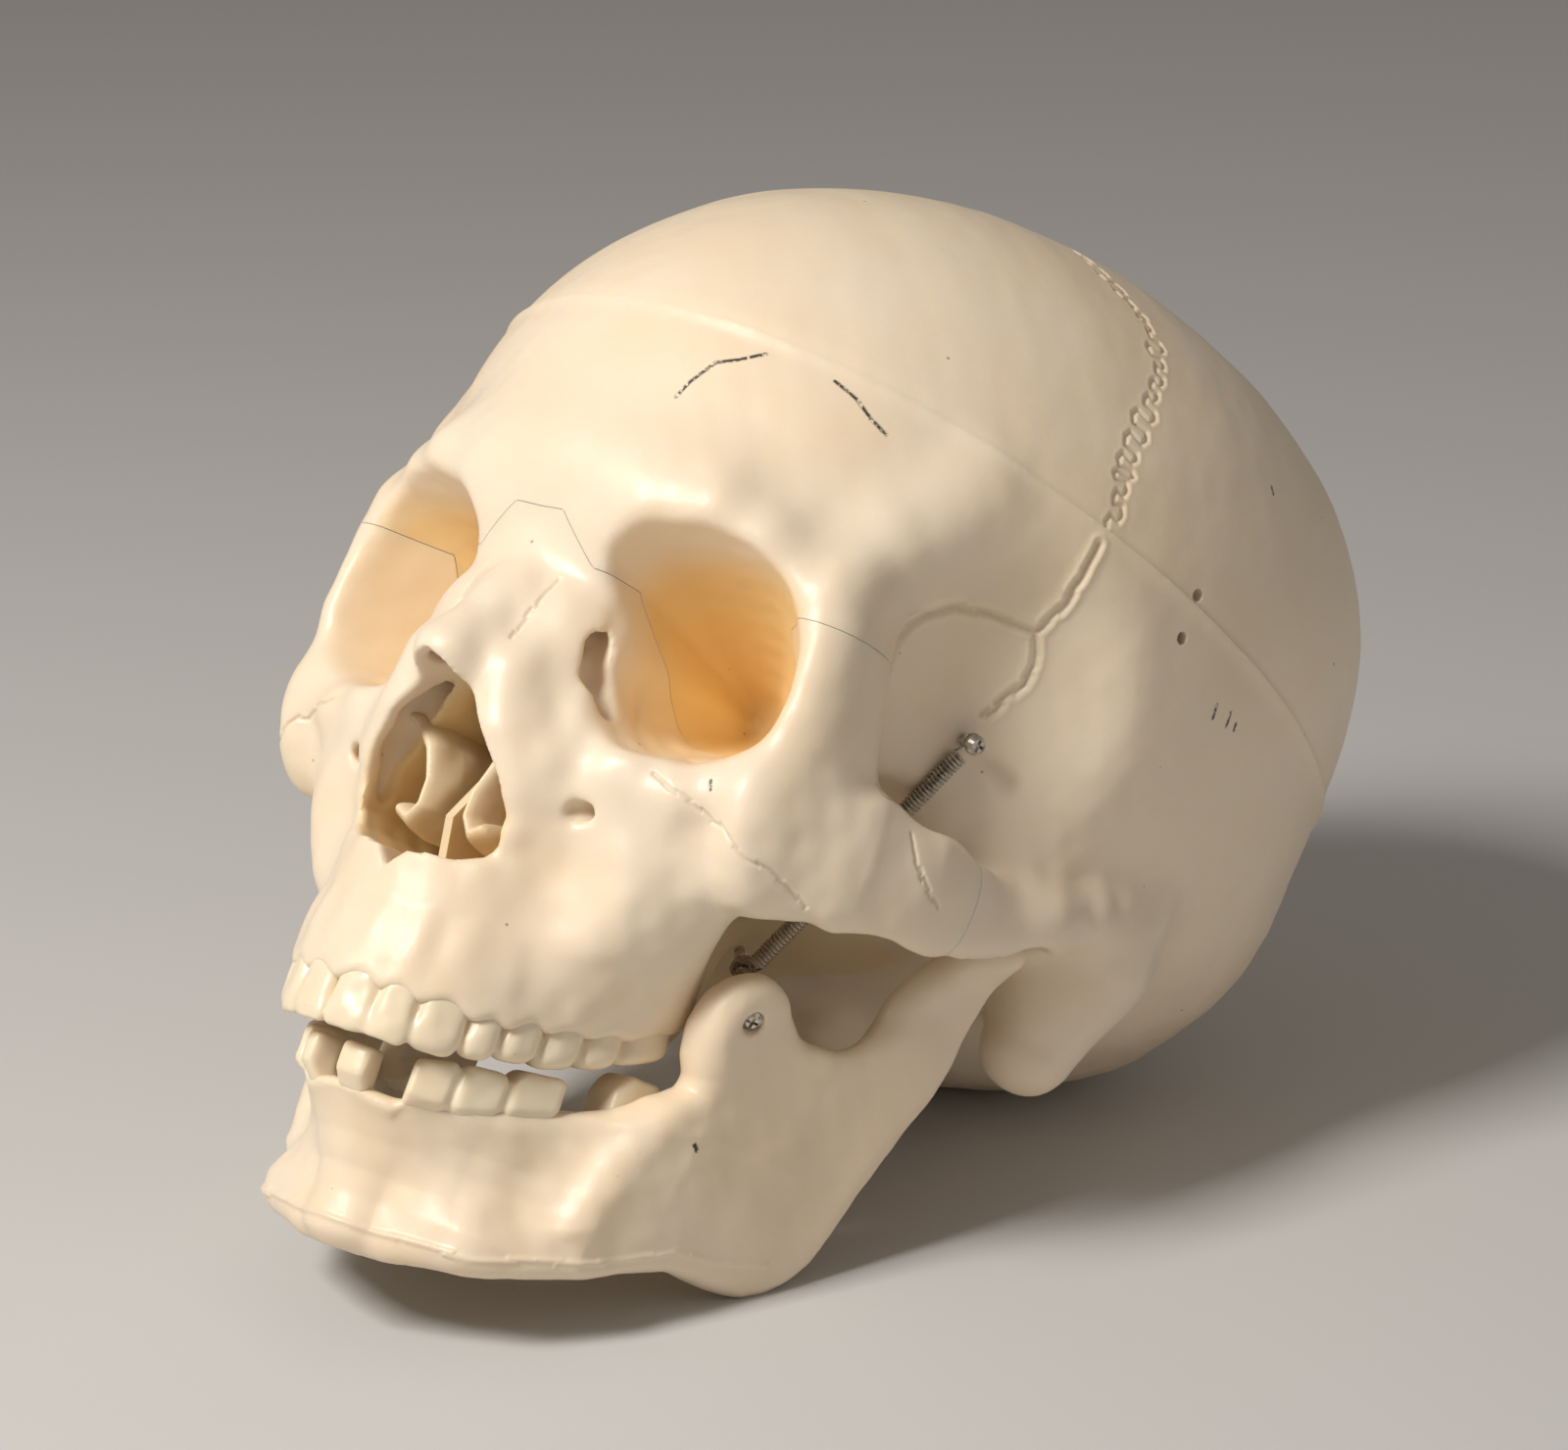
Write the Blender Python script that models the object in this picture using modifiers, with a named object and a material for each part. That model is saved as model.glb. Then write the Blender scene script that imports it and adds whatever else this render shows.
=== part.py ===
"""Anatomical teaching skull, life size, as it stands on a table.

The pieces are modelled in the skull's own axes: x to the skull's left, y backwards, z up, with the
origin midway between the ear openings. An empty then tips the whole skull back until the back of
the head and both jaw corners rest on the table. Lengths are in metres. A table whose name ends in
SHARES holds shares of CRANIUM, FACE or JAW, the three boxes that the named sizes span.
"""

import math

import bmesh
import bpy
import numpy as np
from mathutils import Matrix, Vector

# Named sizes of the head
CRANIUM_BREADTH = 0.1437
CRANIUM_LENGTH = 0.182
CRANIUM_HEIGHT = 0.118
FACE_BREADTH_SHARE = 0.9047
FACE_BREADTH = CRANIUM_BREADTH * FACE_BREADTH_SHARE
FACE_DEPTH = 0.096
FACE_HEIGHT = 0.088
JAW_BREADTH_SHARE = 0.8462
JAW_BREADTH = FACE_BREADTH * JAW_BREADTH_SHARE
JAW_LENGTH = 0.075
JAW_HEIGHT = 0.082
JAW_HINGE_FORWARD = 0.0135
JAW_HINGE_BELOW = 0.004

# Thicknesses of walls, ridges and bones; a round limb's are radii
WALL = 0.005
BROW_RIDGE = 0.0046
TEMPLE_LINE = 0.0038
EAR_CREST = 0.0042
EYE_RIM = 0.0046
EYE_SIDE_WALL = 0.0030
NOSE_RIDGE = 0.0052
CHEEK_ARCH = 0.0057
CHEEK_BUTTRESS = 0.0070
GUM = 0.0052
MASTOID = 0.012
SKULL_BASE_CORE = 0.012
BODY_LOW = 0.0056
BODY_TOP = 0.0048
CHIN = 0.0062
RAMUS = 0.0034
JAW_HEAD_HALF_WIDTH = 0.0095
JAW_HEAD = 0.0048
SPRING_CHANNEL = 0.0037

# Openings of the face and the base
EYE_HALF_WIDTH = 0.0205
EYE_HALF_HEIGHT = 0.0175
EYE_END = 0.0025
EYE_CORNERS = 8
ROOM_BELOW_EYE_TOP = 0.005
NOSE_HALF_WIDTH = 0.0130
FORAMEN_HALF_WIDTH = 0.015
FORAMEN_HALF_LENGTH = 0.018

# Teeth
TOOTH_ROW_LENGTH = 0.0606
TOOTH_DEPTH = 0.0036
CROWN_HEIGHT = 0.010
LOWER_ROW_HALF = 0.0030
LOWER_ROW_INSET = 0.0065
LOWER_CROWN_HEIGHT = 0.009
LOWER_GAP_WIDTH = 0.0055
LOWER_GAP_DEPTH = 0.0072
BITE_GAP = 0.0006

# Seams and fits
KERF = 0.0003
SLIP = 0.0003
OVERRUN = 0.004
TABLE_FLAT = 0.0005
WELD = 0.000001
CAP_TILT = math.radians(10.9)
CAP_PLANE_AT_EARS = 0.0543

# Fasteners
SCREW_RADIUS = 0.0010
HEAD_RADIUS = 0.0017
HEAD_HEIGHT = 0.0013
CROSS_HALF_LENGTH = 0.0010
CROSS_HALF_WIDTH = 0.00025
CROSS_DEPTH = 0.0007
TEMPLE_STANDOFF = 0.0034
TEMPLE_GRIP = 0.0060
TEMPLE_SCREW_AIM = Vector((-0.908, 0.373, 0.190)).normalized()
JAW_SCREW_LENGTH = 0.0210
JAW_SCREW_AIM = Vector((-0.70, 0.48, 0.53)).normalized()
JAW_HEAD_RECESS = 0.0015
JAW_NUT_ALONG = 0.0155
NUT_RADIUS = 0.0022
NUT_HEIGHT = 0.0016
PIN_RADIUS = 0.0010
PIN_LENGTH = 0.008
PIN_DEGREES = {"cap_pin_front": 0, "cap_pin_left": 125, "cap_pin_right": 235}
LATCH_HOLE_RADIUS = 0.0010
LATCH_HOLE_DEPTH = 0.0030
LATCH_HOLE_FROM_SEAM = 0.0038

# Springs
WIRE_RADIUS = 0.00024
COIL_RADIUS = 0.00128
COIL_TURNS = 32
POINTS_PER_TURN = 8
HOOK_LEAD = 0.0012
HOOK_BEFORE_NUT = 0.0014
HOOK_BEFORE_HEAD = 0.0010
HOOK_DEGREES = range(60, 331, 30)

# Nose inserts
SEPTUM = 0.0016
CONCHA = 0.0015
CONCHA_CURL = 0.0030
CONCHA_REACH = 0.0060
CONCHA_LENGTH = 0.016
CONCHA_ROOT = 0.0025
CONCHA_DEGREES = range(80, 281, 33)

# Mesh fineness
SKULL_VOXEL = 0.0019
JAW_VOXEL = 0.0015
SKULL_FACES = 5600
JAW_FACES = 1800

CRANIUM = Vector((CRANIUM_BREADTH / 2, CRANIUM_LENGTH / 2, CRANIUM_HEIGHT))
FACE = Vector((FACE_BREADTH / 2, FACE_DEPTH, FACE_HEIGHT))
JAW = Vector((JAW_BREADTH / 2, JAW_LENGTH, JAW_HEIGHT))
EARS = Vector((0, 0, 0))
HINGE = Vector((0, -JAW_HINGE_FORWARD, -JAW_HINGE_BELOW))
THROUGH = CRANIUM_LENGTH + FACE_DEPTH

# Centres and radii of the ovals that the braincase is stretched over
VAULT_SHARES = (
    ((0, 0.17, 0.477), (0.988, 0.816, 0.511)),
    ((0, 0.014, 0.41), (1.0, 0.977, 0.591)),
    ((0, -0.257, 0.395), (0.87, 0.747, 0.528)),
    ((0, 0.03, 0.237), (0.882, 0.56, 0.373)),
    ((0, 0.348, 0.218), (0.893, 0.614, 0.425)),
    ((0, 0.429, 0.17), (0.821, 0.508, 0.368)),
)
# The brain room is stretched the same way, with a front part that rises over the eye sockets
BRAIN_ROOM_SHARES = (
    ((0, 0.17, 0.477), (0.988, 0.816, 0.511)),
    ((0, 0.0, 0.56), (0.97, 0.80, 0.44)),
    ((0, 0.066, 0.265), (0.87, 0.47, 0.36)),
    ((0, 0.429, 0.17), (0.821, 0.508, 0.368)),
)
ROOM_FRONT_SHARES = (-0.28, 0.80, 0.63)
ROOM_FRONT_TOP_SHARE = 0.858
FORAMEN_SHARES = ((0, 0.22, -0.5), (0, 0.22, 0))

# Ridges: stations in shares of FACE, each with a share of the ridge's thickness
BROW_SHARES = (
    ((0.154, -0.875, 0.352), 1.1),
    ((0.277, -0.89, 0.426), 1.1),
    ((0.423, -0.88, 0.449), 1.0),
    ((0.546, -0.833, 0.42), 0.95),
    ((0.638, -0.776, 0.364), 0.95),
    ((0.695, -0.75, 0.284), 0.95),
)
TEMPLE_LINE_SHARES = (
    ((0.646, -0.75, 0.375), 1.0),
    ((0.692, -0.677, 0.523), 0.8),
    ((0.754, -0.562, 0.682), 0.65),
)
EAR_CREST_SHARES = (
    ((0.938, 0.104, 0.091), 1.0),
    ((0.969, -0.062, 0.045), 1.0),
    ((0.954, -0.167, 0.03), 1.0),
    ((0.946, -0.312, -0.02), 1.1),
    ((0.923, -0.417, -0.04), 1.1),
)
MASTOID_SHARES = (((0.83, 0.094, 0), 1.0), ((0.808, 0.094, -0.18), 0.57))
CORE_SHARES = (((0, 0.02, -0.18), 1.0), ((0, -0.333, 0), 1.0))
LOWER_RIM_SHARES = (
    ((0.2, -0.844, 0.182), 1.0),
    ((0.277, -0.865, 0.045), 1.0),
    ((0.415, -0.854, -0.034), 1.1),
    ((0.554, -0.818, -0.045), 1.1),
    ((0.669, -0.771, 0.011), 1.1),
    ((0.715, -0.75, 0.136), 1.0),
    ((0.695, -0.75, 0.284), 0.95),
)
EYE_SIDE_SHARES = (
    ((0.71, -0.74, 0.08), 1.0),
    ((0.70, -0.74, 0.30), 1.0),
    ((0.66, -0.52, 0.38), 1.0),
    ((0.66, -0.52, 0.03), 1.0),
)
NOSE_WALL_SHARES = (
    ((0.092, -0.875, 0.341), 1.15),
    ((0.154, -0.906, 0.159), 1.2),
    ((0.223, -0.885, -0.068), 1.3),
    ((0.246, -0.854, -0.25), 1.3),
    ((0.138, -0.865, -0.341), 1.4),
)
NOSE_RIDGE_SHARES = (
    ((0, -0.865, 0.386), 1.2),
    ((0, -0.906, 0.273), 1.0),
    ((0, -0.99, 0.148), 1.0),
    ((0, -1.057, 0.051), 1.0),
)
NOSE_SIDE_SHARES = (
    ((0.07, -0.875, 0.307), 1.0),
    ((0.092, -0.917, 0.159), 1.05),
    ((0.115, -0.958, 0.04), 1.0),
)
CHEEK_ARCH_SHARES = (
    ((0.75, -0.68, -0.045), 1.5),
    ((0.854, -0.573, -0.045), 1.3),
    ((0.908, -0.458, -0.045), 1.15),
    ((0.931, -0.333, -0.04), 1.05),
    ((0.938, -0.229, -0.01), 0.95),
)
BUTTRESS_SHARES = (
    ((0.66, -0.667, -0.114), 1.05),
    ((0.46, -0.646, -0.34), 0.85),
)
GUM_SHARES = (
    ((0, -0.969, -0.45), 1.0),
    ((0.077, -0.963, -0.45), 1.0),
    ((0.162, -0.943, -0.447), 1.0),
    ((0.238, -0.896, -0.438), 1.0),
    ((0.3, -0.828, -0.424), 1.0),
    ((0.346, -0.75, -0.407), 1.0),
    ((0.385, -0.661, -0.385), 1.0),
    ((0.408, -0.573, -0.36), 1.0),
    ((0.423, -0.5, -0.34), 1.0),
)

# Ovals, each a centre and three radii in shares of FACE
BASE_OVAL_SHARES = {
    "glabella": ((0, -0.833, 0.466), (0.338, 0.1375, 0.114)),
    "pterygoid": ((0.215, -0.375, -0.216), (0.065, 0.057, 0.216)),
    "occipital_condyle": ((0.23, 0.083, -0.273), (0.092, 0.115, 0.068)),
    "wing": ((0.46, -0.43, -0.03), (0.37, 0.167, 0.114)),
    "joint_roof": ((0.83, -0.19, 0.02), (0.17, 0.15, 0.075)),
}
FACE_OVAL_SHARES = {
    "maxilla": ((0.27, -0.698, -0.205), (0.285, 0.208, 0.284)),
    "palate": ((0, -0.6875, -0.34), (0.37, 0.26, 0.06)),
    "cheek_bone": ((0.69, -0.6875, -0.057), (0.154, 0.094, 0.131)),
}
HOLLOW_OVAL_SHARES = {
    "temple_hollow": ((1.165, -0.51, 0.227), (0.40, 0.302, 0.432)),
    "under_arch_hollow": ((0.63, -0.45, -0.16), (0.231, 0.167, 0.295)),
    "cheek_hollow": ((0.43, -0.917, -0.227), (0.138, 0.094, 0.125)),
}
# A groove in the temple wall that the spring runs down
CHANNEL_SHARES = (((0.785, -0.403, 0.18), 1.0), ((0.695, -0.418, 0.03), 1.4))

# The eye socket: its mouth, its narrower middle and its end, in shares of FACE
EYE_MOUTH_SHARES = (0.484, -1.02, 0.21)
EYE_MIDDLE_SHARES = (0.40, -0.71, 0.199)
EYE_END_SHARES = (0.25, -0.48, 0.182)
EYE_CORNER_SHARE = 0.3
EYE_CORNER_PLACE_SHARE = 0.8
EYE_MIDDLE_SHARE = 0.68
EYE_MIDDLE_DEPTH_SHARE = 0.41

# The nose opening in front view, in shares of NOSE_HALF_WIDTH and FACE_HEIGHT
NOSE_OPENING_SHARES = (
    (0.0, 0.045), (0.5, 0.0), (0.83, -0.08), (1.0, -0.16), (0.96, -0.216), (0.69, -0.256), (0.15, -0.284),
)
NOSE_OPENING_FRONT_SHARE = -1.36
NOSE_OPENING_BACK_SHARE = -0.36
SEPTUM_OUTLINE_SHARES = (
    (-0.88, -0.325), (-0.91, -0.20), (-0.83, -0.06), (-0.80, 0.085), (-0.71, 0.085), (-0.66, -0.325),
)
CONCHA_SHARES = (-0.80, -0.185)
CONCHA_WALL_SHARE = 0.95

# The tooth row: plan and biting edge, front to back, and the crowns' widths along it
TOOTH_ARCH_SHARES = (
    (0, -1.0, -0.628),
    (0.077, -0.995, -0.628),
    (0.169, -0.979, -0.625),
    (0.265, -0.938, -0.613),
    (0.334, -0.865, -0.592),
    (0.369, -0.776, -0.573),
    (0.415, -0.682, -0.540),
    (0.446, -0.589, -0.505),
    (0.462, -0.49, -0.470),
)
TOOTH_WIDTH_SHARES = (0.139, 0.119, 0.132, 0.119, 0.116, 0.122, 0.125, 0.128)
LOWER_GAP_SHARES = (-0.05, 0.14, -0.14, 0.42, -0.42)

# The lower jaw, from its hinge. The ramus is drawn in side view: y and z shares of JAW
BODY_LOW_SHARES = (
    ((0, -0.867, -0.909), 1.0),
    ((0.164, -0.847, -0.915), 1.0),
    ((0.309, -0.78, -0.909), 1.0),
    ((0.436, -0.653, -0.86), 1.0),
    ((0.545, -0.493, -0.787), 1.0),
    ((0.618, -0.353, -0.744), 0.95),
)
BODY_TOP_SHARES = (
    ((0, -0.94, -0.732), 1.0),
    ((0.182, -0.913, -0.732), 1.0),
    ((0.309, -0.84, -0.707), 1.0),
    ((0.409, -0.713, -0.66), 1.0),
    ((0.491, -0.567, -0.61), 1.0),
    ((0.564, -0.447, -0.57), 1.0),
)
CHIN_SHARES = (((0.13, -0.873, -0.915), 1.0), ((0, -0.887, -0.89), 1.0))
RAMUS_SHARES = (
    (-0.45, -0.62), (-0.433, -0.40), (-0.25, -0.372), (0.0, -0.317),
    (-0.033, -0.622), (-0.1, -0.768), (-0.25, -0.768), (-0.40, -0.735),
)
CORONOID_SHARES = ((-0.5, -0.54), (-0.527, -0.366), (-0.5, -0.311), (-0.447, -0.293), (-0.39, -0.39))
NECK_SHARES = ((-0.17, -0.378), (0.007, -0.341), (-0.05, -0.10), (0.0, -0.09))
RAMUS_OUT_SHARE = 0.937
JAW_HEAD_OUT_SHARE = 0.927
RAMUS_LEAN_SHARES = (0.217, 0.186)

# Where the screws and latch holes stand, and the seams' outlines in side and front view
TEMPLE_SCREW_SHARES = (0.83, -0.395, 0.253)
JAW_SCREW_SHARES = (0.767, -0.492, -0.339)
LATCH_BACK_SHARE = -0.158
MIDFACE_OUTLINE_SHARES = (
    (-1.4, 0.292), (-0.825, 0.292), (-0.525, -0.068), (-0.437, -0.114), (-0.437, -0.85), (-1.4, -0.85),
)
CHEEK_OUTLINE_SHARES = ((-1.4, 0.311), (-0.604, 0.311), (-0.604, -0.85), (-1.4, -0.85))
ARCH_OUTLINE_SHARES = ((-0.70, 0.08), (-0.365, 0.08), (-0.365, -0.25), (-0.70, -0.25))
NOSE_ROOT_OUTLINE_SHARES = (
    (-0.185, 0.1), (-0.185, 0.292), (-0.077, 0.376), (0.077, 0.376), (0.185, 0.292), (0.185, 0.1),
)
MIDFACE_HALF_SHARE = 0.577
CHEEK_INNER_SHARE = 0.561
ARCH_INNER_SHARE = 0.715
SIDE_OUTER_SHARE = 1.2
NOSE_ROOT_FRONT_SHARE = -1.4
NOSE_ROOT_BACK_SHARE = -0.833

PARTS = "anatomical_skull"
CUTTERS = "cutters"
# Colour, roughness and metallic value
LOOKS = {
    "ivory_plastic": ((0.84, 0.72, 0.53), 0.42, 0.0),
    "white_plastic": ((0.86, 0.80, 0.68), 0.45, 0.0),
    "nickel_steel": ((0.55, 0.53, 0.50), 0.32, 1.0),
    "dark_steel": ((0.22, 0.19, 0.16), 0.45, 1.0),
}


def clear_scene():
    for old in list(bpy.data.objects):
        bpy.data.objects.remove(old)
    for name in (PARTS, CUTTERS):
        bpy.context.scene.collection.children.link(bpy.data.collections.new(name))


def paint(item, look):
    """Gives a piece its own Principled material."""
    colour, roughness, metallic = LOOKS[look]
    made = bpy.data.materials.new(f"{item.name}_{look}")
    made.use_nodes = True
    shader = made.node_tree.nodes["Principled BSDF"].inputs
    shader["Base Color"].default_value = (*colour, 1)
    shader["Roughness"].default_value = roughness
    shader["Metallic"].default_value = metallic
    item.data.materials.clear()
    item.data.materials.append(made)


def scaled(shares, box):
    return Vector(share * side for share, side in zip(shares, box))


def flipped(vector, side):
    """The same place or direction on the skull's left (1) or right (-1)."""
    return Vector((vector.x * side, vector.y, vector.z))


def link(name, data, collection=CUTTERS):
    made = bpy.data.objects.new(name, data)
    bpy.data.collections[collection].objects.link(made)
    if collection == CUTTERS:
        made.hide_render = True
        made.display_type = "WIRE"
    return made


def from_bmesh(name, bm, collection=CUTTERS):
    bmesh.ops.recalc_face_normals(bm, faces=bm.faces)
    mesh = bpy.data.meshes.new(name)
    bm.to_mesh(mesh)
    bm.free()
    return link(name, mesh, collection)


def baked(source, collection=CUTTERS):
    """The evaluated shape of an object as a new plain mesh, which takes the object's place."""
    bpy.context.view_layer.update()
    graph = bpy.context.evaluated_depsgraph_get()
    mesh = bpy.data.meshes.new_from_object(source.evaluated_get(graph))
    name = source.name
    bpy.data.objects.remove(source)
    return link(name, mesh, collection)


def stretched_over(name, ovals, fineness=2):
    """One convex solid pulled tight over ovals, each a centre and its three radii."""
    bm = bmesh.new()
    for centre, radii in ovals:
        fit = Matrix.Translation(centre) @ Matrix.Diagonal((*radii, 1))
        bmesh.ops.create_icosphere(bm, subdivisions=fineness, radius=1, matrix=fit)
    bmesh.ops.delete(bm, geom=bm.faces[:] + bm.edges[:], context="EDGES_FACES")
    hull = bmesh.ops.convex_hull(bm, input=bm.verts)
    inside = [item for item in hull["geom_interior"] if isinstance(item, bmesh.types.BMVert)]
    bmesh.ops.delete(bm, geom=inside, context="VERTS")
    return from_bmesh(name, bm)


def ball(centre, radius):
    return centre, Vector((radius, radius, radius))


def balls(shares, radius, box, origin=EARS):
    """Balls at stations, each station's own share giving its size."""
    return [ball(origin + scaled(at, box), radius * size) for at, size in shares]


def limb(name, stations):
    """Tapered lengths from ball to ball along a line of stations."""
    return [stretched_over(f"{name}_{i}", pair) for i, pair in enumerate(zip(stations, stations[1:]))]


def ovals(table):
    return [
        stretched_over(name, [(scaled(at, FACE), scaled(radii, FACE))], fineness=3)
        for name, (at, radii) in table.items()
    ]


def joined(name, objects):
    """Overlapping solids as one object."""
    bm = bmesh.new()
    for item in objects:
        bm.from_mesh(item.data)
        bpy.data.objects.remove(item)
    return from_bmesh(name, bm)


def mirrored(item):
    """Solids of the left side with their reflections; they overlap at the middle until fused."""
    mirror = item.modifiers.new("both sides", "MIRROR")
    mirror.use_mirror_merge = False
    return item


def fused(item, voxel, smoothing):
    """The outer skin of overlapping solids, its creases blended."""
    remesh = item.modifiers.new("fuse", "REMESH")
    remesh.mode = "VOXEL"
    remesh.voxel_size = voxel
    blend = item.modifiers.new("blend", "SMOOTH")
    blend.factor = 0.5
    blend.iterations = smoothing
    return baked(item)


def boolean(item, operation, tool):
    cut = item.modifiers.new(f"{operation.lower()} {tool.name}", "BOOLEAN")
    cut.operation = operation
    cut.object = tool
    return item


def thinned(item, faces):
    """The same shape with about this many triangles."""
    item.data.calc_loop_triangles()
    reduce = item.modifiers.new("thin out", "DECIMATE")
    reduce.ratio = min(1.0, faces / len(item.data.loop_triangles))
    return baked(item)


def main_body(item):
    """The largest connected piece; slivers that a seam splits off are dropped."""
    bm = bmesh.new()
    bm.from_mesh(item.data)
    left = set(bm.verts)
    islands = []
    while left:
        front = [left.pop()]
        island = set(front)
        while front:
            for edge in front.pop().link_edges:
                near = [vert for vert in edge.verts if vert in left]
                left.difference_update(near)
                island.update(near)
                front.extend(near)
        islands.append(island)
    largest = max(islands, key=len)
    bmesh.ops.delete(bm, geom=[vert for vert in bm.verts if vert not in largest], context="VERTS")
    bm.to_mesh(item.data)
    bm.free()
    return item


def offset_outline(points, grow):
    """A flat closed outline moved outwards by one distance."""
    count = len(points)
    area = sum(points[i].cross(points[(i + 1) % count]) for i in range(count))
    turn = math.copysign(1, area)
    out = []
    for i, point in enumerate(points):
        before = (point - points[i - 1]).normalized()
        after = (points[(i + 1) % count] - point).normalized()
        normals = [Vector((edge.y, -edge.x)) * turn for edge in (before, after)]
        bisector = (normals[0] + normals[1]).normalized()
        out.append(point + bisector * (grow / bisector.dot(normals[0])))
    return out


def plate(name, outline, thickness, stand):
    """A flat outline given a thickness; stand turns its plane and moves its middle into place."""
    curve = bpy.data.curves.new(name, "CURVE")
    curve.dimensions = "2D"
    curve.fill_mode = "BOTH"
    curve.extrude = thickness / 2
    spline = curve.splines.new("POLY")
    spline.points.add(len(outline) - 1)
    for point, (u, v) in zip(spline.points, outline):
        point.co = (u, v, 0, 1)
    spline.use_cyclic_u = True
    flat = baked(link(name, curve))
    bm = bmesh.new()
    bm.from_mesh(flat.data)
    bpy.data.objects.remove(flat)
    bmesh.ops.remove_doubles(bm, verts=bm.verts, dist=WELD)
    bm.transform(stand)
    return from_bmesh(name, bm)


def side_view(x):
    """A plate drawn in y and z, standing at one x."""
    return Matrix(((0, 0, 1, x), (1, 0, 0, 0), (0, 1, 0, 0), (0, 0, 0, 1)))


def front_view(y):
    """A plate drawn in x and z, standing at one y."""
    return Matrix(((1, 0, 0, 0), (0, 0, 1, y), (0, 1, 0, 0), (0, 0, 0, 1)))


def along(direction, centre):
    """Turns z to a direction and moves to a centre."""
    return Matrix.Translation(centre) @ direction.to_track_quat("Z", "Y").to_matrix().to_4x4()


def rod(name, radius, start, end, sides=12, collection=CUTTERS):
    bm = bmesh.new()
    run = end - start
    bmesh.ops.create_cone(
        bm, cap_ends=True, segments=sides, radius1=radius, radius2=radius, depth=run.length,
        matrix=along(run, (start + end) / 2),
    )
    return from_bmesh(name, bm, collection)


def box(name, low, high, matrix):
    bm = bmesh.new()
    fit = Matrix.Translation((low + high) / 2) @ Matrix.Diagonal((*(high - low), 1))
    bmesh.ops.create_cube(bm, size=1, matrix=matrix @ fit)
    return from_bmesh(name, bm)


def surface_point(item, start, aim):
    """Where a line first meets an object's surface."""
    bpy.context.view_layer.update()
    hit, place, _, _ = item.ray_cast(start, aim.normalized())
    return place if hit else start


# The braincase and the face, before they are cut apart
def vault_ovals(shares, inset):
    rim = Vector((inset, inset, inset))
    return [(scaled(at, CRANIUM), scaled(radii, CRANIUM) - rim) for at, radii in shares]


def room_front():
    """The front of the brain room, between the crown and the roofs of the eye sockets."""
    back, wide, deep = ROOM_FRONT_SHARES
    top = ROOM_FRONT_TOP_SHARE * CRANIUM.z
    floor = EYE_MOUTH_SHARES[2] * FACE.z + EYE_HALF_HEIGHT - ROOM_BELOW_EYE_TOP
    radii = Vector((wide * CRANIUM.x - WALL, deep * CRANIUM.y - WALL, (top - floor) / 2))
    return Vector((0, back * CRANIUM.y, (top + floor) / 2)), radii


def cranium_solids():
    solids = [stretched_over("vault", vault_ovals(VAULT_SHARES, 0), fineness=4)]
    solids += limb("brow", balls(BROW_SHARES, BROW_RIDGE, FACE))
    solids += limb("temple_line", balls(TEMPLE_LINE_SHARES, TEMPLE_LINE, FACE))
    solids += limb("ear_crest", balls(EAR_CREST_SHARES, EAR_CREST, FACE))
    solids += limb("mastoid", balls(MASTOID_SHARES, MASTOID, FACE))
    solids += limb("core", balls(CORE_SHARES, SKULL_BASE_CORE, FACE))
    return solids + ovals(BASE_OVAL_SHARES)


def face_solids():
    solids = limb("lower_rim", balls(LOWER_RIM_SHARES, EYE_RIM, FACE))
    solids += limb("nose_wall", balls(NOSE_WALL_SHARES, NOSE_RIDGE, FACE))
    solids += limb("nose_ridge", balls(NOSE_RIDGE_SHARES, NOSE_RIDGE, FACE))
    solids += limb("nose_side", balls(NOSE_SIDE_SHARES, NOSE_RIDGE, FACE))
    solids += limb("cheek_arch", balls(CHEEK_ARCH_SHARES, CHEEK_ARCH, FACE))
    solids += limb("buttress", balls(BUTTRESS_SHARES, CHEEK_BUTTRESS, FACE))
    solids += limb("gum", balls(GUM_SHARES, GUM, FACE))
    solids.append(stretched_over("eye_side_wall", balls(EYE_SIDE_SHARES, EYE_SIDE_WALL, FACE)))
    return solids + ovals(FACE_OVAL_SHARES) + upper_teeth()


def row_point(distance):
    """The point of the biting edge this far along the row from its middle, measured in plan."""
    points = [scaled(at, FACE) for at in TOOTH_ARCH_SHARES]
    for start, end in zip(points, points[1:]):
        step = (end - start).to_2d().length
        if distance <= step or end is points[-1]:
            return start.lerp(end, distance / step)
        distance -= step


def row_inward(distance):
    """The level direction from the row towards the tongue."""
    run = row_point(distance + TOOTH_DEPTH) - row_point(distance)
    return Vector((-run.y, run.x, 0)).normalized()


def upper_teeth():
    """Eight crowns on the left side; the mirror makes the others."""
    made = []
    passed = 0
    for i, share in enumerate(TOOTH_WIDTH_SHARES):
        width = share * TOOTH_ROW_LENGTH
        middle = passed + width / 2
        passed += width
        tip = row_point(middle) + row_inward(middle) * TOOTH_DEPTH + Vector((0, 0, TOOTH_DEPTH))
        root = tip + Vector((0, 0, CROWN_HEIGHT - TOOTH_DEPTH))
        radii = Vector((width / 2, TOOTH_DEPTH, TOOTH_DEPTH))
        made.append(stretched_over(f"tooth_{i}", [(root, radii), (tip, radii)]))
    return made


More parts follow.
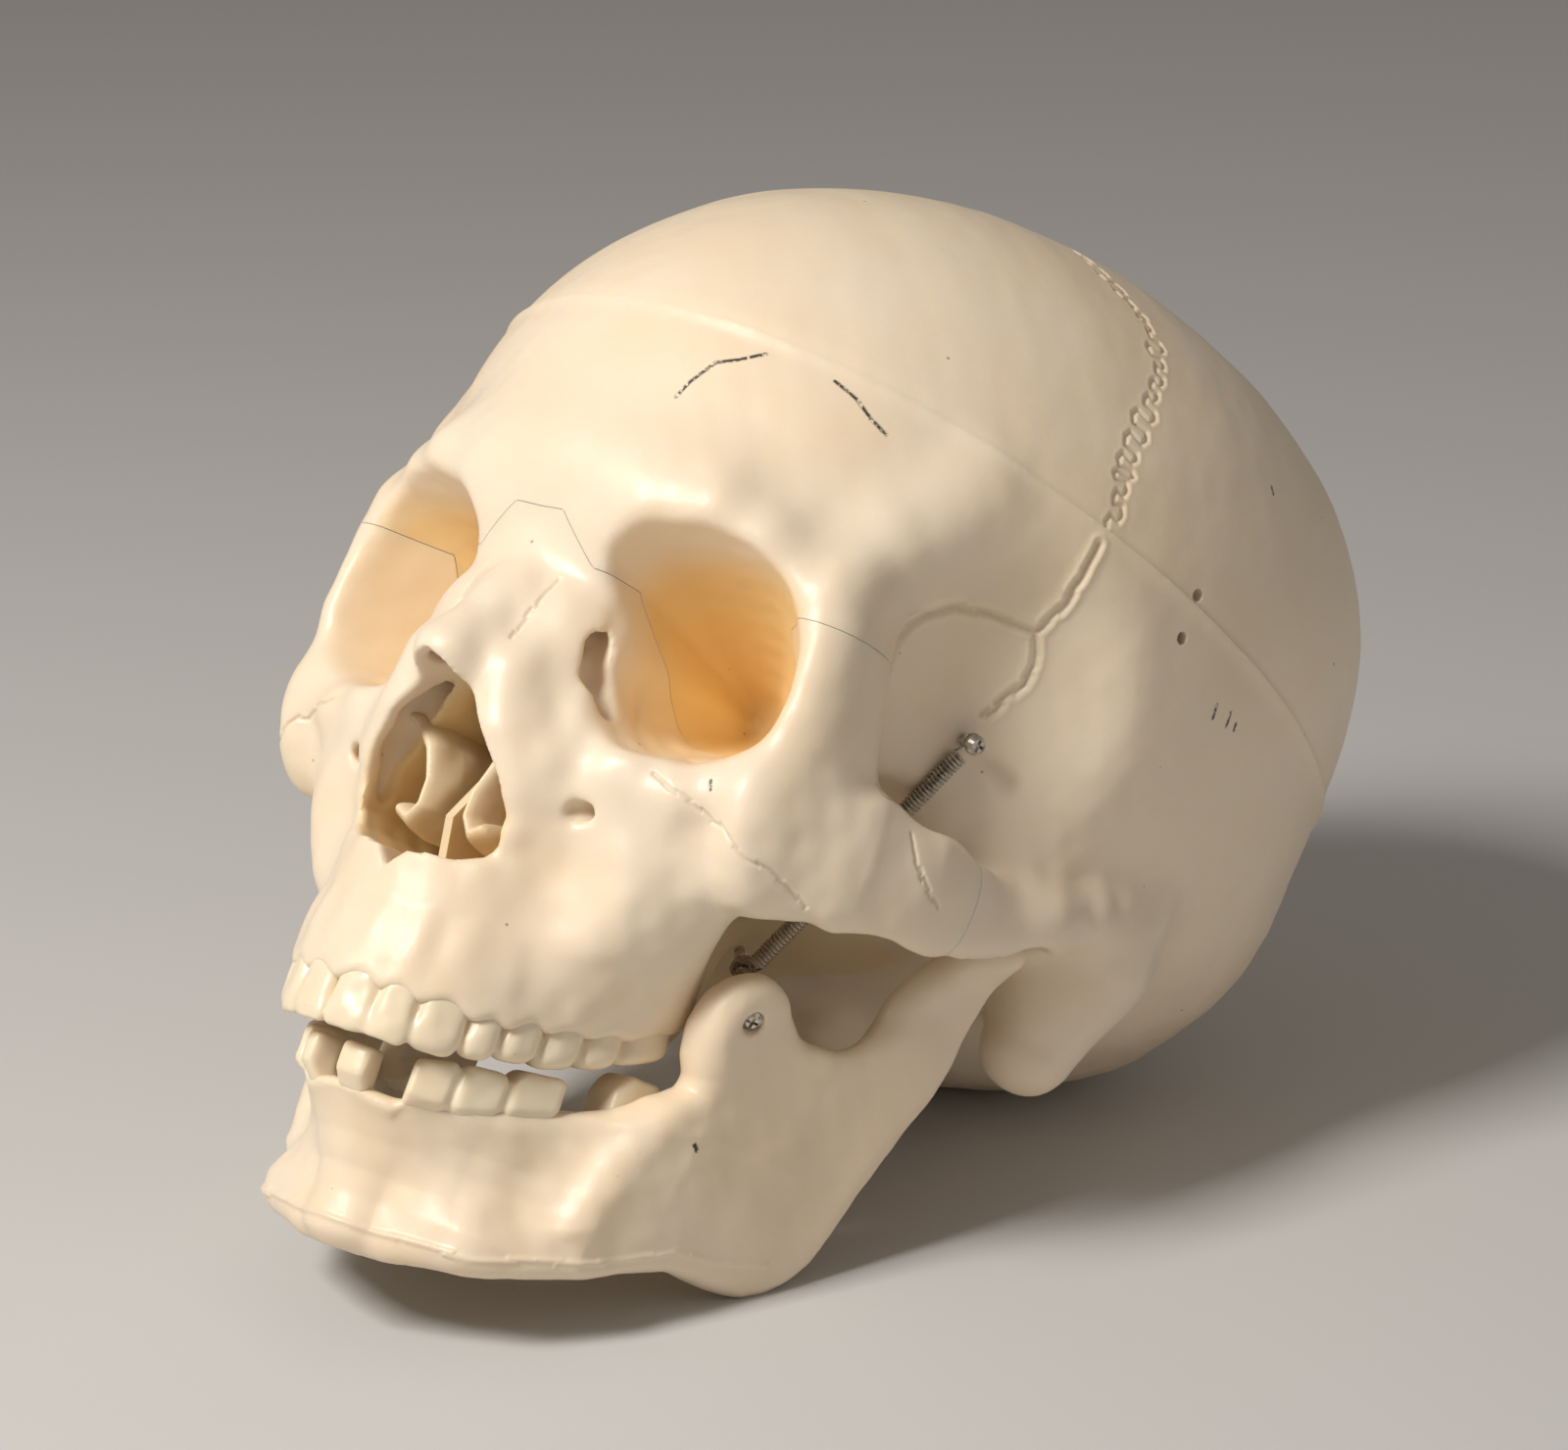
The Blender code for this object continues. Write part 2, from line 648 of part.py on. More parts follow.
def eye_socket():
    """A rounded square mouth that narrows to a point behind the nose."""
    mouth = scaled(EYE_MOUTH_SHARES, FACE)
    solids = []
    for i in range(EYE_CORNERS):
        angle = math.tau * (i + 0.5) / EYE_CORNERS
        corner = Vector((EYE_HALF_WIDTH * math.cos(angle), 0, EYE_HALF_HEIGHT * math.sin(angle)))
        place = mouth + corner * EYE_CORNER_PLACE_SHARE
        solids.append(ball(place, EYE_HALF_HEIGHT * EYE_CORNER_SHARE))
    wide, high = EYE_HALF_WIDTH * EYE_MIDDLE_SHARE, EYE_HALF_HEIGHT * EYE_MIDDLE_SHARE
    deep = EYE_HALF_WIDTH * EYE_MIDDLE_DEPTH_SHARE
    solids.append((scaled(EYE_MIDDLE_SHARES, FACE), Vector((wide, deep, high))))
    solids.append(ball(scaled(EYE_END_SHARES, FACE), EYE_END))
    return stretched_over("eye_socket", solids)


def nose_opening():
    """A pear-shaped passage from the face to the throat."""
    left = [Vector((wide * NOSE_HALF_WIDTH, high * FACE_HEIGHT)) for wide, high in NOSE_OPENING_SHARES]
    right = [Vector((-point.x, point.y)) for point in reversed(left[1:])]
    front, back = NOSE_OPENING_FRONT_SHARE * FACE_DEPTH, NOSE_OPENING_BACK_SHARE * FACE_DEPTH
    return plate("nose_opening", left + right, back - front, front_view((front + back) / 2))


def skull_hollows():
    """What is cut from the joined braincase and face on the left side, and the rooms in the middle."""
    opening = Vector((FORAMEN_HALF_WIDTH, FORAMEN_HALF_LENGTH, WALL))
    channel = limb("channel", balls(CHANNEL_SHARES, SPRING_CHANNEL, FACE))
    return ovals(HOLLOW_OVAL_SHARES) + channel + [
        eye_socket(),
        nose_opening(),
        stretched_over("brain_room", vault_ovals(BRAIN_ROOM_SHARES, WALL) + [room_front()], fineness=4),
        stretched_over("foramen", [(scaled(at, CRANIUM), opening) for at in FORAMEN_SHARES]),
    ]


def skull_blank():
    """The whole skull without its jaw, hollow, before it is cut into pieces."""
    outer = mirrored(joined("skull_outer", cranium_solids() + face_solids()))
    outer = fused(outer, SKULL_VOXEL, smoothing=4)
    hollows = fused(mirrored(joined("skull_hollows", skull_hollows())), SKULL_VOXEL, smoothing=1)
    cut = baked(boolean(outer, "DIFFERENCE", hollows))
    bpy.data.objects.remove(hollows)
    whole = main_body(fused(cut, SKULL_VOXEL, smoothing=1))
    return thinned(whole, SKULL_FACES)


# The lower jaw
def ramus_ball(shares):
    """A ball in the leaning plane of the ramus, placed in side view."""
    back, up = shares[0] * JAW.y, shares[1] * JAW.z
    lean_back, lean_up = RAMUS_LEAN_SHARES
    out = RAMUS_OUT_SHARE * JAW.x + lean_back * back + lean_up * up
    return ball(HINGE + Vector((out, back, up)), RAMUS)


def jaw_head():
    centre = HINGE + Vector((JAW_HEAD_OUT_SHARE * JAW.x, 0, 0))
    return centre, Vector((JAW_HEAD_HALF_WIDTH, JAW_HEAD, JAW_HEAD))


def jaw_sockets():
    """Rooms in the skull for the jaw's round heads, which turn in them about the hinge."""
    rim = Vector((KERF, KERF, KERF))
    centre, radii = jaw_head()
    return [
        stretched_over("jaw_socket", [(flipped(centre, side), radii + rim)], fineness=3)
        for side in (1, -1)
    ]


def jaw_solids():
    low = balls(BODY_LOW_SHARES, BODY_LOW, JAW, HINGE)
    top = balls(BODY_TOP_SHARES, BODY_TOP, JAW, HINGE)
    ramus = [ramus_ball(at) for at in RAMUS_SHARES]
    solids = [
        stretched_over(f"body_{i}", low[i:i + 2] + top[i:i + 2]) for i in range(len(low) - 1)
    ]
    solids += [
        stretched_over("chin", balls(CHIN_SHARES, CHIN, JAW, HINGE)),
        stretched_over("ramus", ramus),
        stretched_over("heel", [low[-1], top[-1], ramus[0], ramus[-1]]),
        stretched_over("coronoid", [ramus_ball(at) for at in CORONOID_SHARES] + ramus[1:3]),
        stretched_over("neck", [ramus_ball(at) for at in NECK_SHARES]),
        stretched_over("jaw_head", [jaw_head()], fineness=3),
    ]
    return solids + lower_teeth()


def lower_teeth():
    """The lower row as one low wall behind the upper crowns."""
    made = []
    stations = []
    for i in range(len(TOOTH_WIDTH_SHARES)):
        along_row = sum(TOOTH_WIDTH_SHARES[:i]) * TOOTH_ROW_LENGTH
        place = row_point(along_row) + row_inward(along_row) * LOWER_ROW_INSET
        stations.append(place - Vector((0, 0, LOWER_ROW_HALF + BITE_GAP)))
    drop = Vector((0, 0, LOWER_CROWN_HEIGHT))
    for i, (near, far) in enumerate(zip(stations, stations[1:])):
        ends = [ball(at, LOWER_ROW_HALF) for at in (near, far, near - drop, far - drop)]
        made.append(stretched_over(f"lower_row_{i}", ends))
    return made


def tooth_gaps():
    """Windows in the lower row where teeth are missing."""
    made = []
    for i, share in enumerate(LOWER_GAP_SHARES):
        side = math.copysign(1, share)
        along_row = abs(share) * TOOTH_ROW_LENGTH
        inward = flipped(row_inward(along_row), side)
        turn = Matrix.Rotation(math.atan2(-inward.x, inward.y), 4, "Z")
        half = Vector((LOWER_GAP_WIDTH / 2, LOWER_ROW_INSET + OVERRUN, LOWER_GAP_DEPTH))
        place = Matrix.Translation(flipped(row_point(along_row), side))
        made.append(box(f"tooth_gap_{i}", -half, half, place @ turn))
    return made


def jaw_blank():
    solid = fused(mirrored(joined("jaw_blank", jaw_solids())), JAW_VOXEL, smoothing=4)
    return thinned(main_body(solid), JAW_FACES)


# The seams that cut the blank into its pieces
def cap_normal():
    return Vector((0, math.sin(CAP_TILT), math.cos(CAP_TILT)))


def cap_block(grow):
    """All that lies above the sawn cut, its lower face moved down by grow."""
    low, high = Vector((-THROUGH, -THROUGH, -grow)), Vector((THROUGH, THROUGH, THROUGH))
    return box("cap_block", low, high, along_cut())


def along_cut():
    """The sawn cut's own axes: x to the left, y back along the cut, z out of it."""
    return Matrix.Translation((0, 0, CAP_PLANE_AT_EARS)) @ Matrix.Rotation(-CAP_TILT, 4, "X")


def side_region(shares, near, far, grow):
    """A side outline between two distances from the middle."""
    outline = offset_outline([Vector((y * FACE.y, z * FACE.z)) for y, z in shares], grow)
    return plate("face_region", outline, far - near, side_view((near + far) / 2))


def face_region(grow):
    """The space of the face moulding, each of its faces moved out by grow."""
    half = FACE.x * MIDFACE_HALF_SHARE + grow
    whole = side_region(MIDFACE_OUTLINE_SHARES, -half, half, grow)
    others = []
    for shares, inner in ((CHEEK_OUTLINE_SHARES, CHEEK_INNER_SHARE), (ARCH_OUTLINE_SHARES, ARCH_INNER_SHARE)):
        near, far = FACE.x * inner - grow, FACE.x * SIDE_OUTER_SHARE
        others.append(side_region(shares, near, far, grow))
        others.append(side_region(shares, -far, -near, grow))
    root = offset_outline([Vector((x * FACE.x, z * FACE.z)) for x, z in NOSE_ROOT_OUTLINE_SHARES], grow)
    front, back = NOSE_ROOT_FRONT_SHARE * FACE.y, NOSE_ROOT_BACK_SHARE * FACE.y + grow
    others.append(plate("nose_root", root, back - front, front_view((front + back) / 2)))
    for other in others:
        boolean(whole, "UNION", other)
    made = baked(whole)
    for other in others:
        bpy.data.objects.remove(other)
    return made


def piece(name, blank, steps):
    """A copy of a blank that goes through its cuts and keeps its main body."""
    made = link(name, blank.data.copy(), PARTS)
    for operation, tool in steps:
        boolean(made, operation, tool)
    return main_body(baked(made, PARTS))


# Screws, nuts, pins and springs
def turned(name, profile, matrix, sides=16):
    """A profile of radius and height, turned about its own axis."""
    bm = bmesh.new()
    verts = [bm.verts.new((radius, 0, height)) for radius, height in profile]
    for pair in zip(verts, verts[1:]):
        bm.edges.new(pair)
    lathe = from_bmesh(name, bm)
    screw = lathe.modifiers.new("turn", "SCREW")
    screw.steps = screw.render_steps = sides
    screw.use_merge_vertices = True
    screw.merge_threshold = WELD
    solid = baked(lathe)
    bm = bmesh.new()
    bm.from_mesh(solid.data)
    bpy.data.objects.remove(solid)
    bmesh.ops.remove_doubles(bm, verts=bm.verts, dist=WELD)
    bm.transform(matrix)
    return from_bmesh(name, bm, PARTS)


def pan_screw(name, seat, outward, length):
    """A cross-head screw: its head stands on the seat, its shank runs inwards from it."""
    shoulder = HEAD_HEIGHT / 2
    profile = (
        (0, HEAD_HEIGHT), (HEAD_RADIUS - shoulder, HEAD_HEIGHT), (HEAD_RADIUS, shoulder),
        (HEAD_RADIUS, 0), (SCREW_RADIUS, 0), (SCREW_RADIUS, -length), (0, -length),
    )
    matrix = along(outward, seat)
    made = turned(name, profile, matrix)
    halves = ((CROSS_HALF_LENGTH, CROSS_HALF_WIDTH), (CROSS_HALF_WIDTH, CROSS_HALF_LENGTH))
    for i, (wide, long) in enumerate(halves):
        low = Vector((-wide, -long, HEAD_HEIGHT - CROSS_DEPTH))
        high = Vector((wide, long, HEAD_HEIGHT + OVERRUN))
        boolean(made, "DIFFERENCE", box(f"{name}_slot_{i}", low, high, matrix))
    paint(made, "nickel_steel")
    return made


def hex_nut(name, centre, axis):
    half = axis * (NUT_HEIGHT / 2)
    nut = rod(name, NUT_RADIUS, centre - half, centre + half, sides=6, collection=PARTS)
    beyond = half + axis * OVERRUN
    hole = rod(f"{name}_hole", SCREW_RADIUS + SLIP, centre - beyond, centre + beyond)
    boolean(nut, "DIFFERENCE", hole)
    paint(nut, "dark_steel")
    return nut


def hook(centre, towards, across, ring):
    """Most of a ring round a shank, open on one side and ending near the coil."""
    angles = [math.radians(degrees) for degrees in HOOK_DEGREES]
    return [centre + (towards * math.cos(a) + across * math.sin(a)) * ring for a in angles]


def spring_route(first, first_axis, second, second_axis):
    """Points of one wire: a hook round the first screw, the coil, a hook round the second."""
    run = (second - first).normalized()
    ring = SCREW_RADIUS + SLIP + WIRE_RADIUS
    start, end = first + run * (ring + HOOK_LEAD), second - run * (ring + HOOK_LEAD)
    upright = (first_axis - run * first_axis.dot(run)).normalized()
    across = upright.cross(run)
    far_upright = (second_axis - run * second_axis.dot(run)).normalized()
    far_across = far_upright.cross(run)
    swing = math.atan2(-far_across.dot(upright), far_across.dot(across)) % math.tau
    turns = COIL_TURNS + swing / math.tau
    steps = round(turns * POINTS_PER_TURN)
    coil = []
    for i in range(steps + 1):
        angle = turns * math.tau * i / steps
        out = upright * math.sin(angle) - across * math.cos(angle)
        coil.append(start.lerp(end, i / steps) + out * COIL_RADIUS)
    near_hook = hook(first, run, across, ring)
    far_hook = hook(second, -run, far_across, ring)
    return near_hook + coil + list(reversed(far_hook))


def least_gap(route):
    """The smallest clear distance between parts of the wire that aren't neighbours along it."""
    points = np.array([tuple(point) for point in route])
    apart = np.linalg.norm(points[:, None] - points[None], axis=2)
    places = np.arange(len(points))
    far = abs(places[:, None] - places[None]) > POINTS_PER_TURN // 2
    return apart[far].min() - 2 * WIRE_RADIUS


def spring(name, route):
    """One unbroken round wire along a route."""
    curve = bpy.data.curves.new(name, "CURVE")
    curve.dimensions = "3D"
    curve.bevel_depth = WIRE_RADIUS
    curve.bevel_resolution = 1
    curve.use_fill_caps = True
    spline = curve.splines.new("POLY")
    spline.points.add(len(route) - 1)
    for point, at in zip(spline.points, route):
        point.co = (*at, 1)
    made = link(name, curve, PARTS)
    paint(made, "dark_steel")
    print(f"{name}: least gap of the wire to itself {least_gap(route) * 1000:.2f} mm")
    return made


# Nose inserts; grow makes the slot that each one sits in
def septum(name, grow, collection):
    """The upright plate between the two nostrils."""
    outline = [Vector((y * FACE.y, z * FACE.z)) for y, z in SEPTUM_OUTLINE_SHARES]
    made = plate(name, offset_outline(outline, grow), SEPTUM + 2 * grow, side_view(0))
    return baked(made, collection)


def concha(name, side, grow, collection):
    """A curled shelf on the side wall of the nose."""
    wall = NOSE_HALF_WIDTH * CONCHA_WALL_SHARE
    back, up = scaled(CONCHA_SHARES, FACE.yz)
    centre = Vector((wall - CONCHA_REACH, up - CONCHA_CURL))
    middle = [Vector((wall + CONCHA_ROOT + grow, up))]
    for degrees in CONCHA_DEGREES:
        angle = math.radians(degrees)
        middle.append(centre + Vector((math.cos(angle), math.sin(angle))) * CONCHA_CURL)
    ribbon = bpy.data.curves.new(name, "CURVE")
    ribbon.dimensions = "2D"
    ribbon.fill_mode = "NONE"
    ribbon.extrude = CONCHA_LENGTH / 2 + grow
    spline = ribbon.splines.new("POLY")
    spline.points.add(len(middle) - 1)
    for point, (u, v) in zip(spline.points, middle):
        point.co = (u * side, v, 0, 1)
    sheet = baked(link(name, ribbon))
    sheet.data.transform(front_view(back))
    shell = sheet.modifiers.new("thickness", "SOLIDIFY")
    shell.thickness = CONCHA + 2 * grow
    shell.offset = 0
    solid = baked(sheet)
    bm = bmesh.new()
    bm.from_mesh(solid.data)
    bpy.data.objects.remove(solid)
    return from_bmesh(name, bm, collection)


# Where the loose pieces stand
def screw_seats(skull, jaw, side):
    """Wall point of the temple screw and seat of the jaw screw on one side."""
    aim = flipped(TEMPLE_SCREW_AIM, side)
    near = flipped(scaled(TEMPLE_SCREW_SHARES, FACE), side)
    temple = surface_point(skull, near - aim * FACE.x / 2, aim)
    place = flipped(HINGE + scaled(JAW_SCREW_SHARES, JAW), side)
    outside = place + Vector((side * JAW.x, 0, 0))
    jaw_seat = surface_point(jaw, outside, place - outside)
    return temple, jaw_seat + flipped(JAW_SCREW_AIM, side) * JAW_HEAD_RECESS


def rim_middle(blank, degrees):
    """The middle of the sawn rim in one direction; zero is the front."""
    angle = math.radians(degrees)
    way = along_cut().to_3x3() @ Vector((math.sin(angle), -math.cos(angle), 0))
    centre = Vector((0, 0, CAP_PLANE_AT_EARS))
    inner = surface_point(blank, centre, way)
    outer = surface_point(blank, centre + way * THROUGH, -way)
    return (inner + outer) / 2


def pin_rod(name, middle, radius, length, collection):
    half = cap_normal() * (length / 2)
    return rod(name, radius, middle - half, middle + half, collection=collection)


def latch_holes(blank):
    """Blind holes above and below the seam, where a latch hook and its peg go."""
    made = []
    for side in (1, -1):
        for up in (1, -1):
            level = Vector((side * CRANIUM.x, LATCH_BACK_SHARE * CRANIUM.y, 0))
            level.z = CAP_PLANE_AT_EARS - level.y * math.tan(CAP_TILT) + up * LATCH_HOLE_FROM_SEAM
            way = Vector((-side, 0, 0))
            mouth = surface_point(blank, level - way * CRANIUM.x, way)
            ends = mouth - way * OVERRUN, mouth + way * LATCH_HOLE_DEPTH
            made.append(rod("latch_hole", LATCH_HOLE_RADIUS, *ends, sides=10))
    return made


# The stance on the table
def rest_height(item, tilt):
    """How low an object reaches once the skull is tipped back by this angle."""
    turn = Matrix.Rotation(-tilt, 3, "X")
    return min((turn @ vert.co).z for vert in item.data.vertices)


def stance_tilt(base, jaw):
    """The tilt at which the back of the head and the jaw corners reach equally low."""
    low, high = 0, math.pi / 3
    for _ in range(40):
        middle = (low + high) / 2
        if rest_height(base, middle) > rest_height(jaw, middle):
            low = middle
        else:
            high = middle
    return (low + high) / 2


def table_block(tilt, height):
    """All that lies below the table top, in the skull's axes."""
    low, high = Vector((-THROUGH, -THROUGH, -THROUGH)), Vector((THROUGH, THROUGH, height))
    return box("table_block", low, high, Matrix.Rotation(tilt, 4, "X"))


def settled(item):
    """A piece with its cuts made for good, so that it can move away from its cutters."""
    return baked(item, PARTS) if item.modifiers else item


def carry(empty_name, place, parent, children):
    """An empty at a joint, holding the pieces that move together. They keep their places."""
    empty = bpy.data.objects.new(empty_name, None)
    bpy.data.collections[PARTS].objects.link(empty)
    empty.location = place
    empty.parent = parent
    for child in children:
        child.parent = empty
        child.location = -place
    return empty


def stand_on_table(stance, tilt, pieces):
    """Tips the whole skull back and puts the middle of its footprint at the origin."""
    stance.rotation_euler.x = -tilt
    bpy.context.view_layer.update()
    graph = bpy.context.evaluated_depsgraph_get()
    corners = []
    for item in pieces:
        mesh = bpy.data.meshes.new_from_object(item.evaluated_get(graph))
        corners += [item.matrix_world @ vert.co for vert in mesh.vertices]
        bpy.data.meshes.remove(mesh)
    low = Vector(min(corner[axis] for corner in corners) for axis in range(3))
    high = Vector(max(corner[axis] for corner in corners) for axis in range(3))
    stance.location = -(low + high) / 2
    stance.location.z = -low.z


def build():
    clear_scene()
    skull = skull_blank()
    jaw = jaw_blank()
    cap_space, cap_cut = cap_block(0), cap_block(KERF)
    face_space, face_cut = face_region(0), face_region(KERF)

    cap_steps = [("INTERSECT", cap_space)]
    base_steps = [("DIFFERENCE", cap_cut), ("DIFFERENCE", face_cut)]
    face_steps = [("INTERSECT", face_space)]
    jaw_steps = [("DIFFERENCE", gap) for gap in tooth_gaps()]
    base_steps += [("DIFFERENCE", room) for room in jaw_sockets()]
    skull_pieces = []
    jaw_pieces = []

    for hole in latch_holes(skull):
        cap_steps.append(("DIFFERENCE", hole))
        base_steps.append(("DIFFERENCE", hole))
    for name, degrees in PIN_DEGREES.items():
        middle = rim_middle(skull, degrees)
        hole = pin_rod(f"{name}_hole", middle, PIN_RADIUS + SLIP, PIN_LENGTH + 2 * SLIP, CUTTERS)
        cap_steps.append(("DIFFERENCE", hole))
        base_steps.append(("DIFFERENCE", hole))
        pin = pin_rod(name, middle, PIN_RADIUS, PIN_LENGTH, PARTS)
        paint(pin, "nickel_steel")
        skull_pieces.append(pin)

    for label, side in (("left", 1), ("right", -1)):
        outward = -flipped(TEMPLE_SCREW_AIM, side)
        inward = flipped(JAW_SCREW_AIM, side)
        wall, seat = screw_seats(skull, jaw, side)
        under_head = wall + outward * TEMPLE_STANDOFF
        grip = wall - outward * (TEMPLE_GRIP + SLIP)
        drilled = SCREW_RADIUS + SLIP
        base_steps.append(("DIFFERENCE", rod(f"{label}_temple_hole", drilled, under_head, grip)))
        jaw_end = seat + inward * JAW_SCREW_LENGTH
        jaw_steps.append(("DIFFERENCE", rod(f"{label}_jaw_hole", drilled, seat - inward * OVERRUN, jaw_end)))
        floor, mouth = seat + inward * SLIP, seat - inward * OVERRUN
        jaw_steps.append(("DIFFERENCE", rod(f"{label}_jaw_recess", HEAD_RADIUS + SLIP, floor, mouth)))
        temple_length = TEMPLE_STANDOFF + TEMPLE_GRIP
        skull_pieces.append(pan_screw(f"{label}_temple_screw", under_head, outward, temple_length))
        jaw_pieces.append(pan_screw(f"{label}_jaw_screw", seat, -inward, JAW_SCREW_LENGTH))
        nut_at = seat + inward * JAW_NUT_ALONG
        jaw_pieces.append(hex_nut(f"{label}_jaw_nut", nut_at, inward))
        upper = under_head - outward * HOOK_BEFORE_HEAD
        lower = nut_at - inward * (NUT_HEIGHT / 2 + HOOK_BEFORE_NUT)
        skull_pieces.append(spring(f"{label}_jaw_spring", spring_route(upper, outward, lower, inward)))
        face_steps.append(("DIFFERENCE", concha(f"{label}_concha_slot", side, SLIP, CUTTERS)))
        shelf = concha(f"{label}_concha", side, 0, PARTS)
        paint(shelf, "ivory_plastic")
        skull_pieces.append(shelf)

    face_steps.append(("DIFFERENCE", septum("septum_slot", SLIP, CUTTERS)))
    divider = septum("nasal_septum", 0, PARTS)
    paint(divider, "white_plastic")
    skull_pieces.append(divider)

    base = piece("skull_base", skull, base_steps)
    face = piece("face_block", skull, face_steps)
    cap = piece("skull_cap", skull, cap_steps)
    mandible = piece("mandible", jaw, jaw_steps)
    tilt = stance_tilt(base, mandible)
    table = table_block(tilt, rest_height(base, tilt) + TABLE_FLAT)
    for item in (base, mandible):
        boolean(item, "DIFFERENCE", table)
    for item in (base, face, cap, mandible):
        paint(item, "ivory_plastic")
    for blank in (skull, jaw):
        bpy.data.objects.remove(blank)

    skull_pieces = [settled(item) for item in skull_pieces + [base, face]]
    jaw_pieces = [settled(item) for item in jaw_pieces + [mandible]]
    stance = carry("table_stance", EARS, None, skull_pieces)
    carry("jaw_hinge", HINGE, stance, jaw_pieces)
    carry("cap_lift", Vector((0, 0, CAP_PLANE_AT_EARS)), stance, [cap])
    stand_on_table(stance, tilt, skull_pieces + jaw_pieces + [cap])
    bpy.context.view_layer.update()
    hinge = stance.matrix_world @ HINGE
    lift = stance.matrix_world.to_3x3() @ cap_normal()
    print(f"stance tilt {math.degrees(tilt):.2f} degrees, hinge {hinge}, cap lift {lift}")


build()
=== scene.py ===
import math
from functools import partial

import bmesh
import bpy
import numpy as np
from mathutils import Matrix, Vector


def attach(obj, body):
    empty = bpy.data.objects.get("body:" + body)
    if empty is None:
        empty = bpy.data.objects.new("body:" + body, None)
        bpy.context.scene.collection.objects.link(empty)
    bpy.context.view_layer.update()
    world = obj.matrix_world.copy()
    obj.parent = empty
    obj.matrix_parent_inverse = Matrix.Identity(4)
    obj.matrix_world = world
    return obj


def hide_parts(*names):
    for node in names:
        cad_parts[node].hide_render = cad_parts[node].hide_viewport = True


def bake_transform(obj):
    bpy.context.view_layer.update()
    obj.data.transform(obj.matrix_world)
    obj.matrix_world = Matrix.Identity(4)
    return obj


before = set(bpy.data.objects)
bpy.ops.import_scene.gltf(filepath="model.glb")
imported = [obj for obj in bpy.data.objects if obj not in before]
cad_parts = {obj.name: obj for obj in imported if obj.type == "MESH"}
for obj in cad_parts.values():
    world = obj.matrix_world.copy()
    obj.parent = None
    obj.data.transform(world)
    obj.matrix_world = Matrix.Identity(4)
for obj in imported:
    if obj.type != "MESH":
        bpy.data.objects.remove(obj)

# The skull's own axes: millimetres from the point midway between the ears, x to its left, y back
# and z up. On the table it leans back on the back of the head and the two corners of the jaw.
LEAN = math.radians(32.556445)
STANCE = Matrix.Translation((-0.00000988, 0.00070225, 0.04756614))
STANCE = STANCE @ Matrix.Rotation(-LEAN, 4, "X") @ Matrix.Scale(0.001, 4)
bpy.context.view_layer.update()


# ---- Ivory plastic ----
# Every bone piece is moulded in one cream vinyl, satin and a little translucent, with a faint
# pebbled skin, flow waves, tiny dark specks, rubbed patches and grime in the engraved lines.
def shader_group(name, inputs):
    """A group putting out colour, roughness and height; an input that is None takes a place."""
    group = bpy.data.node_groups.new(name, "ShaderNodeTree")
    for socket, value in inputs.items():
        kind = "Vector" if value is None else "Color" if isinstance(value, tuple) else "Float"
        made = group.interface.new_socket(socket, in_out="INPUT", socket_type="NodeSocket" + kind)
        if value is not None:
            made.default_value = value
    for socket, kind in (("Colour", "Color"), ("Roughness", "Float"), ("Height", "Float")):
        group.interface.new_socket(socket, in_out="OUTPUT", socket_type="NodeSocket" + kind)
    return group, group.nodes.new("NodeGroupInput").outputs


def put_out(group, *sources):
    for source, socket in zip(sources, group.nodes.new("NodeGroupOutput").inputs):
        group.links.new(source, socket)
    return group


def fill(tree, socket, source):
    """Links a source to a socket, or sets the socket to a plain value."""
    if isinstance(source, bpy.types.NodeSocket):
        tree.links.new(source, socket)
    else:
        socket.default_value = source


def add(tree, kind, links=None, **settings):
    """A shader node with its settings; links gives its input sockets their values or sources."""
    node = tree.nodes.new(kind)
    for key, value in settings.items():
        setattr(node, key, value)
    for socket, source in (links or {}).items():
        fill(tree, node.inputs[socket], source)
    return node


def maths(tree, operation, a, b=0.0, clamp=False):
    return add(tree, "ShaderNodeMath", {0: a, 1: b}, operation=operation, use_clamp=clamp).outputs[0]


def mixed(tree, share, a, b):
    return add(tree, "ShaderNodeMix", {0: share, 6: a, 7: b}, data_type="RGBA").outputs[2]


def ramp(tree, source, low, high):
    """0 where source is at low, 1 where it is at high."""
    links = {"Value": source, "From Min": low, "From Max": high}
    return add(tree, "ShaderNodeMapRange", links, interpolation_type="SMOOTHSTEP").outputs[0]


def noise(tree, place, scale, detail=3.0, rough=0.5):
    links = {"Vector": place, "Scale": scale, "Detail": detail, "Roughness": rough}
    return add(tree, "ShaderNodeTexNoise", links).outputs["Fac"]


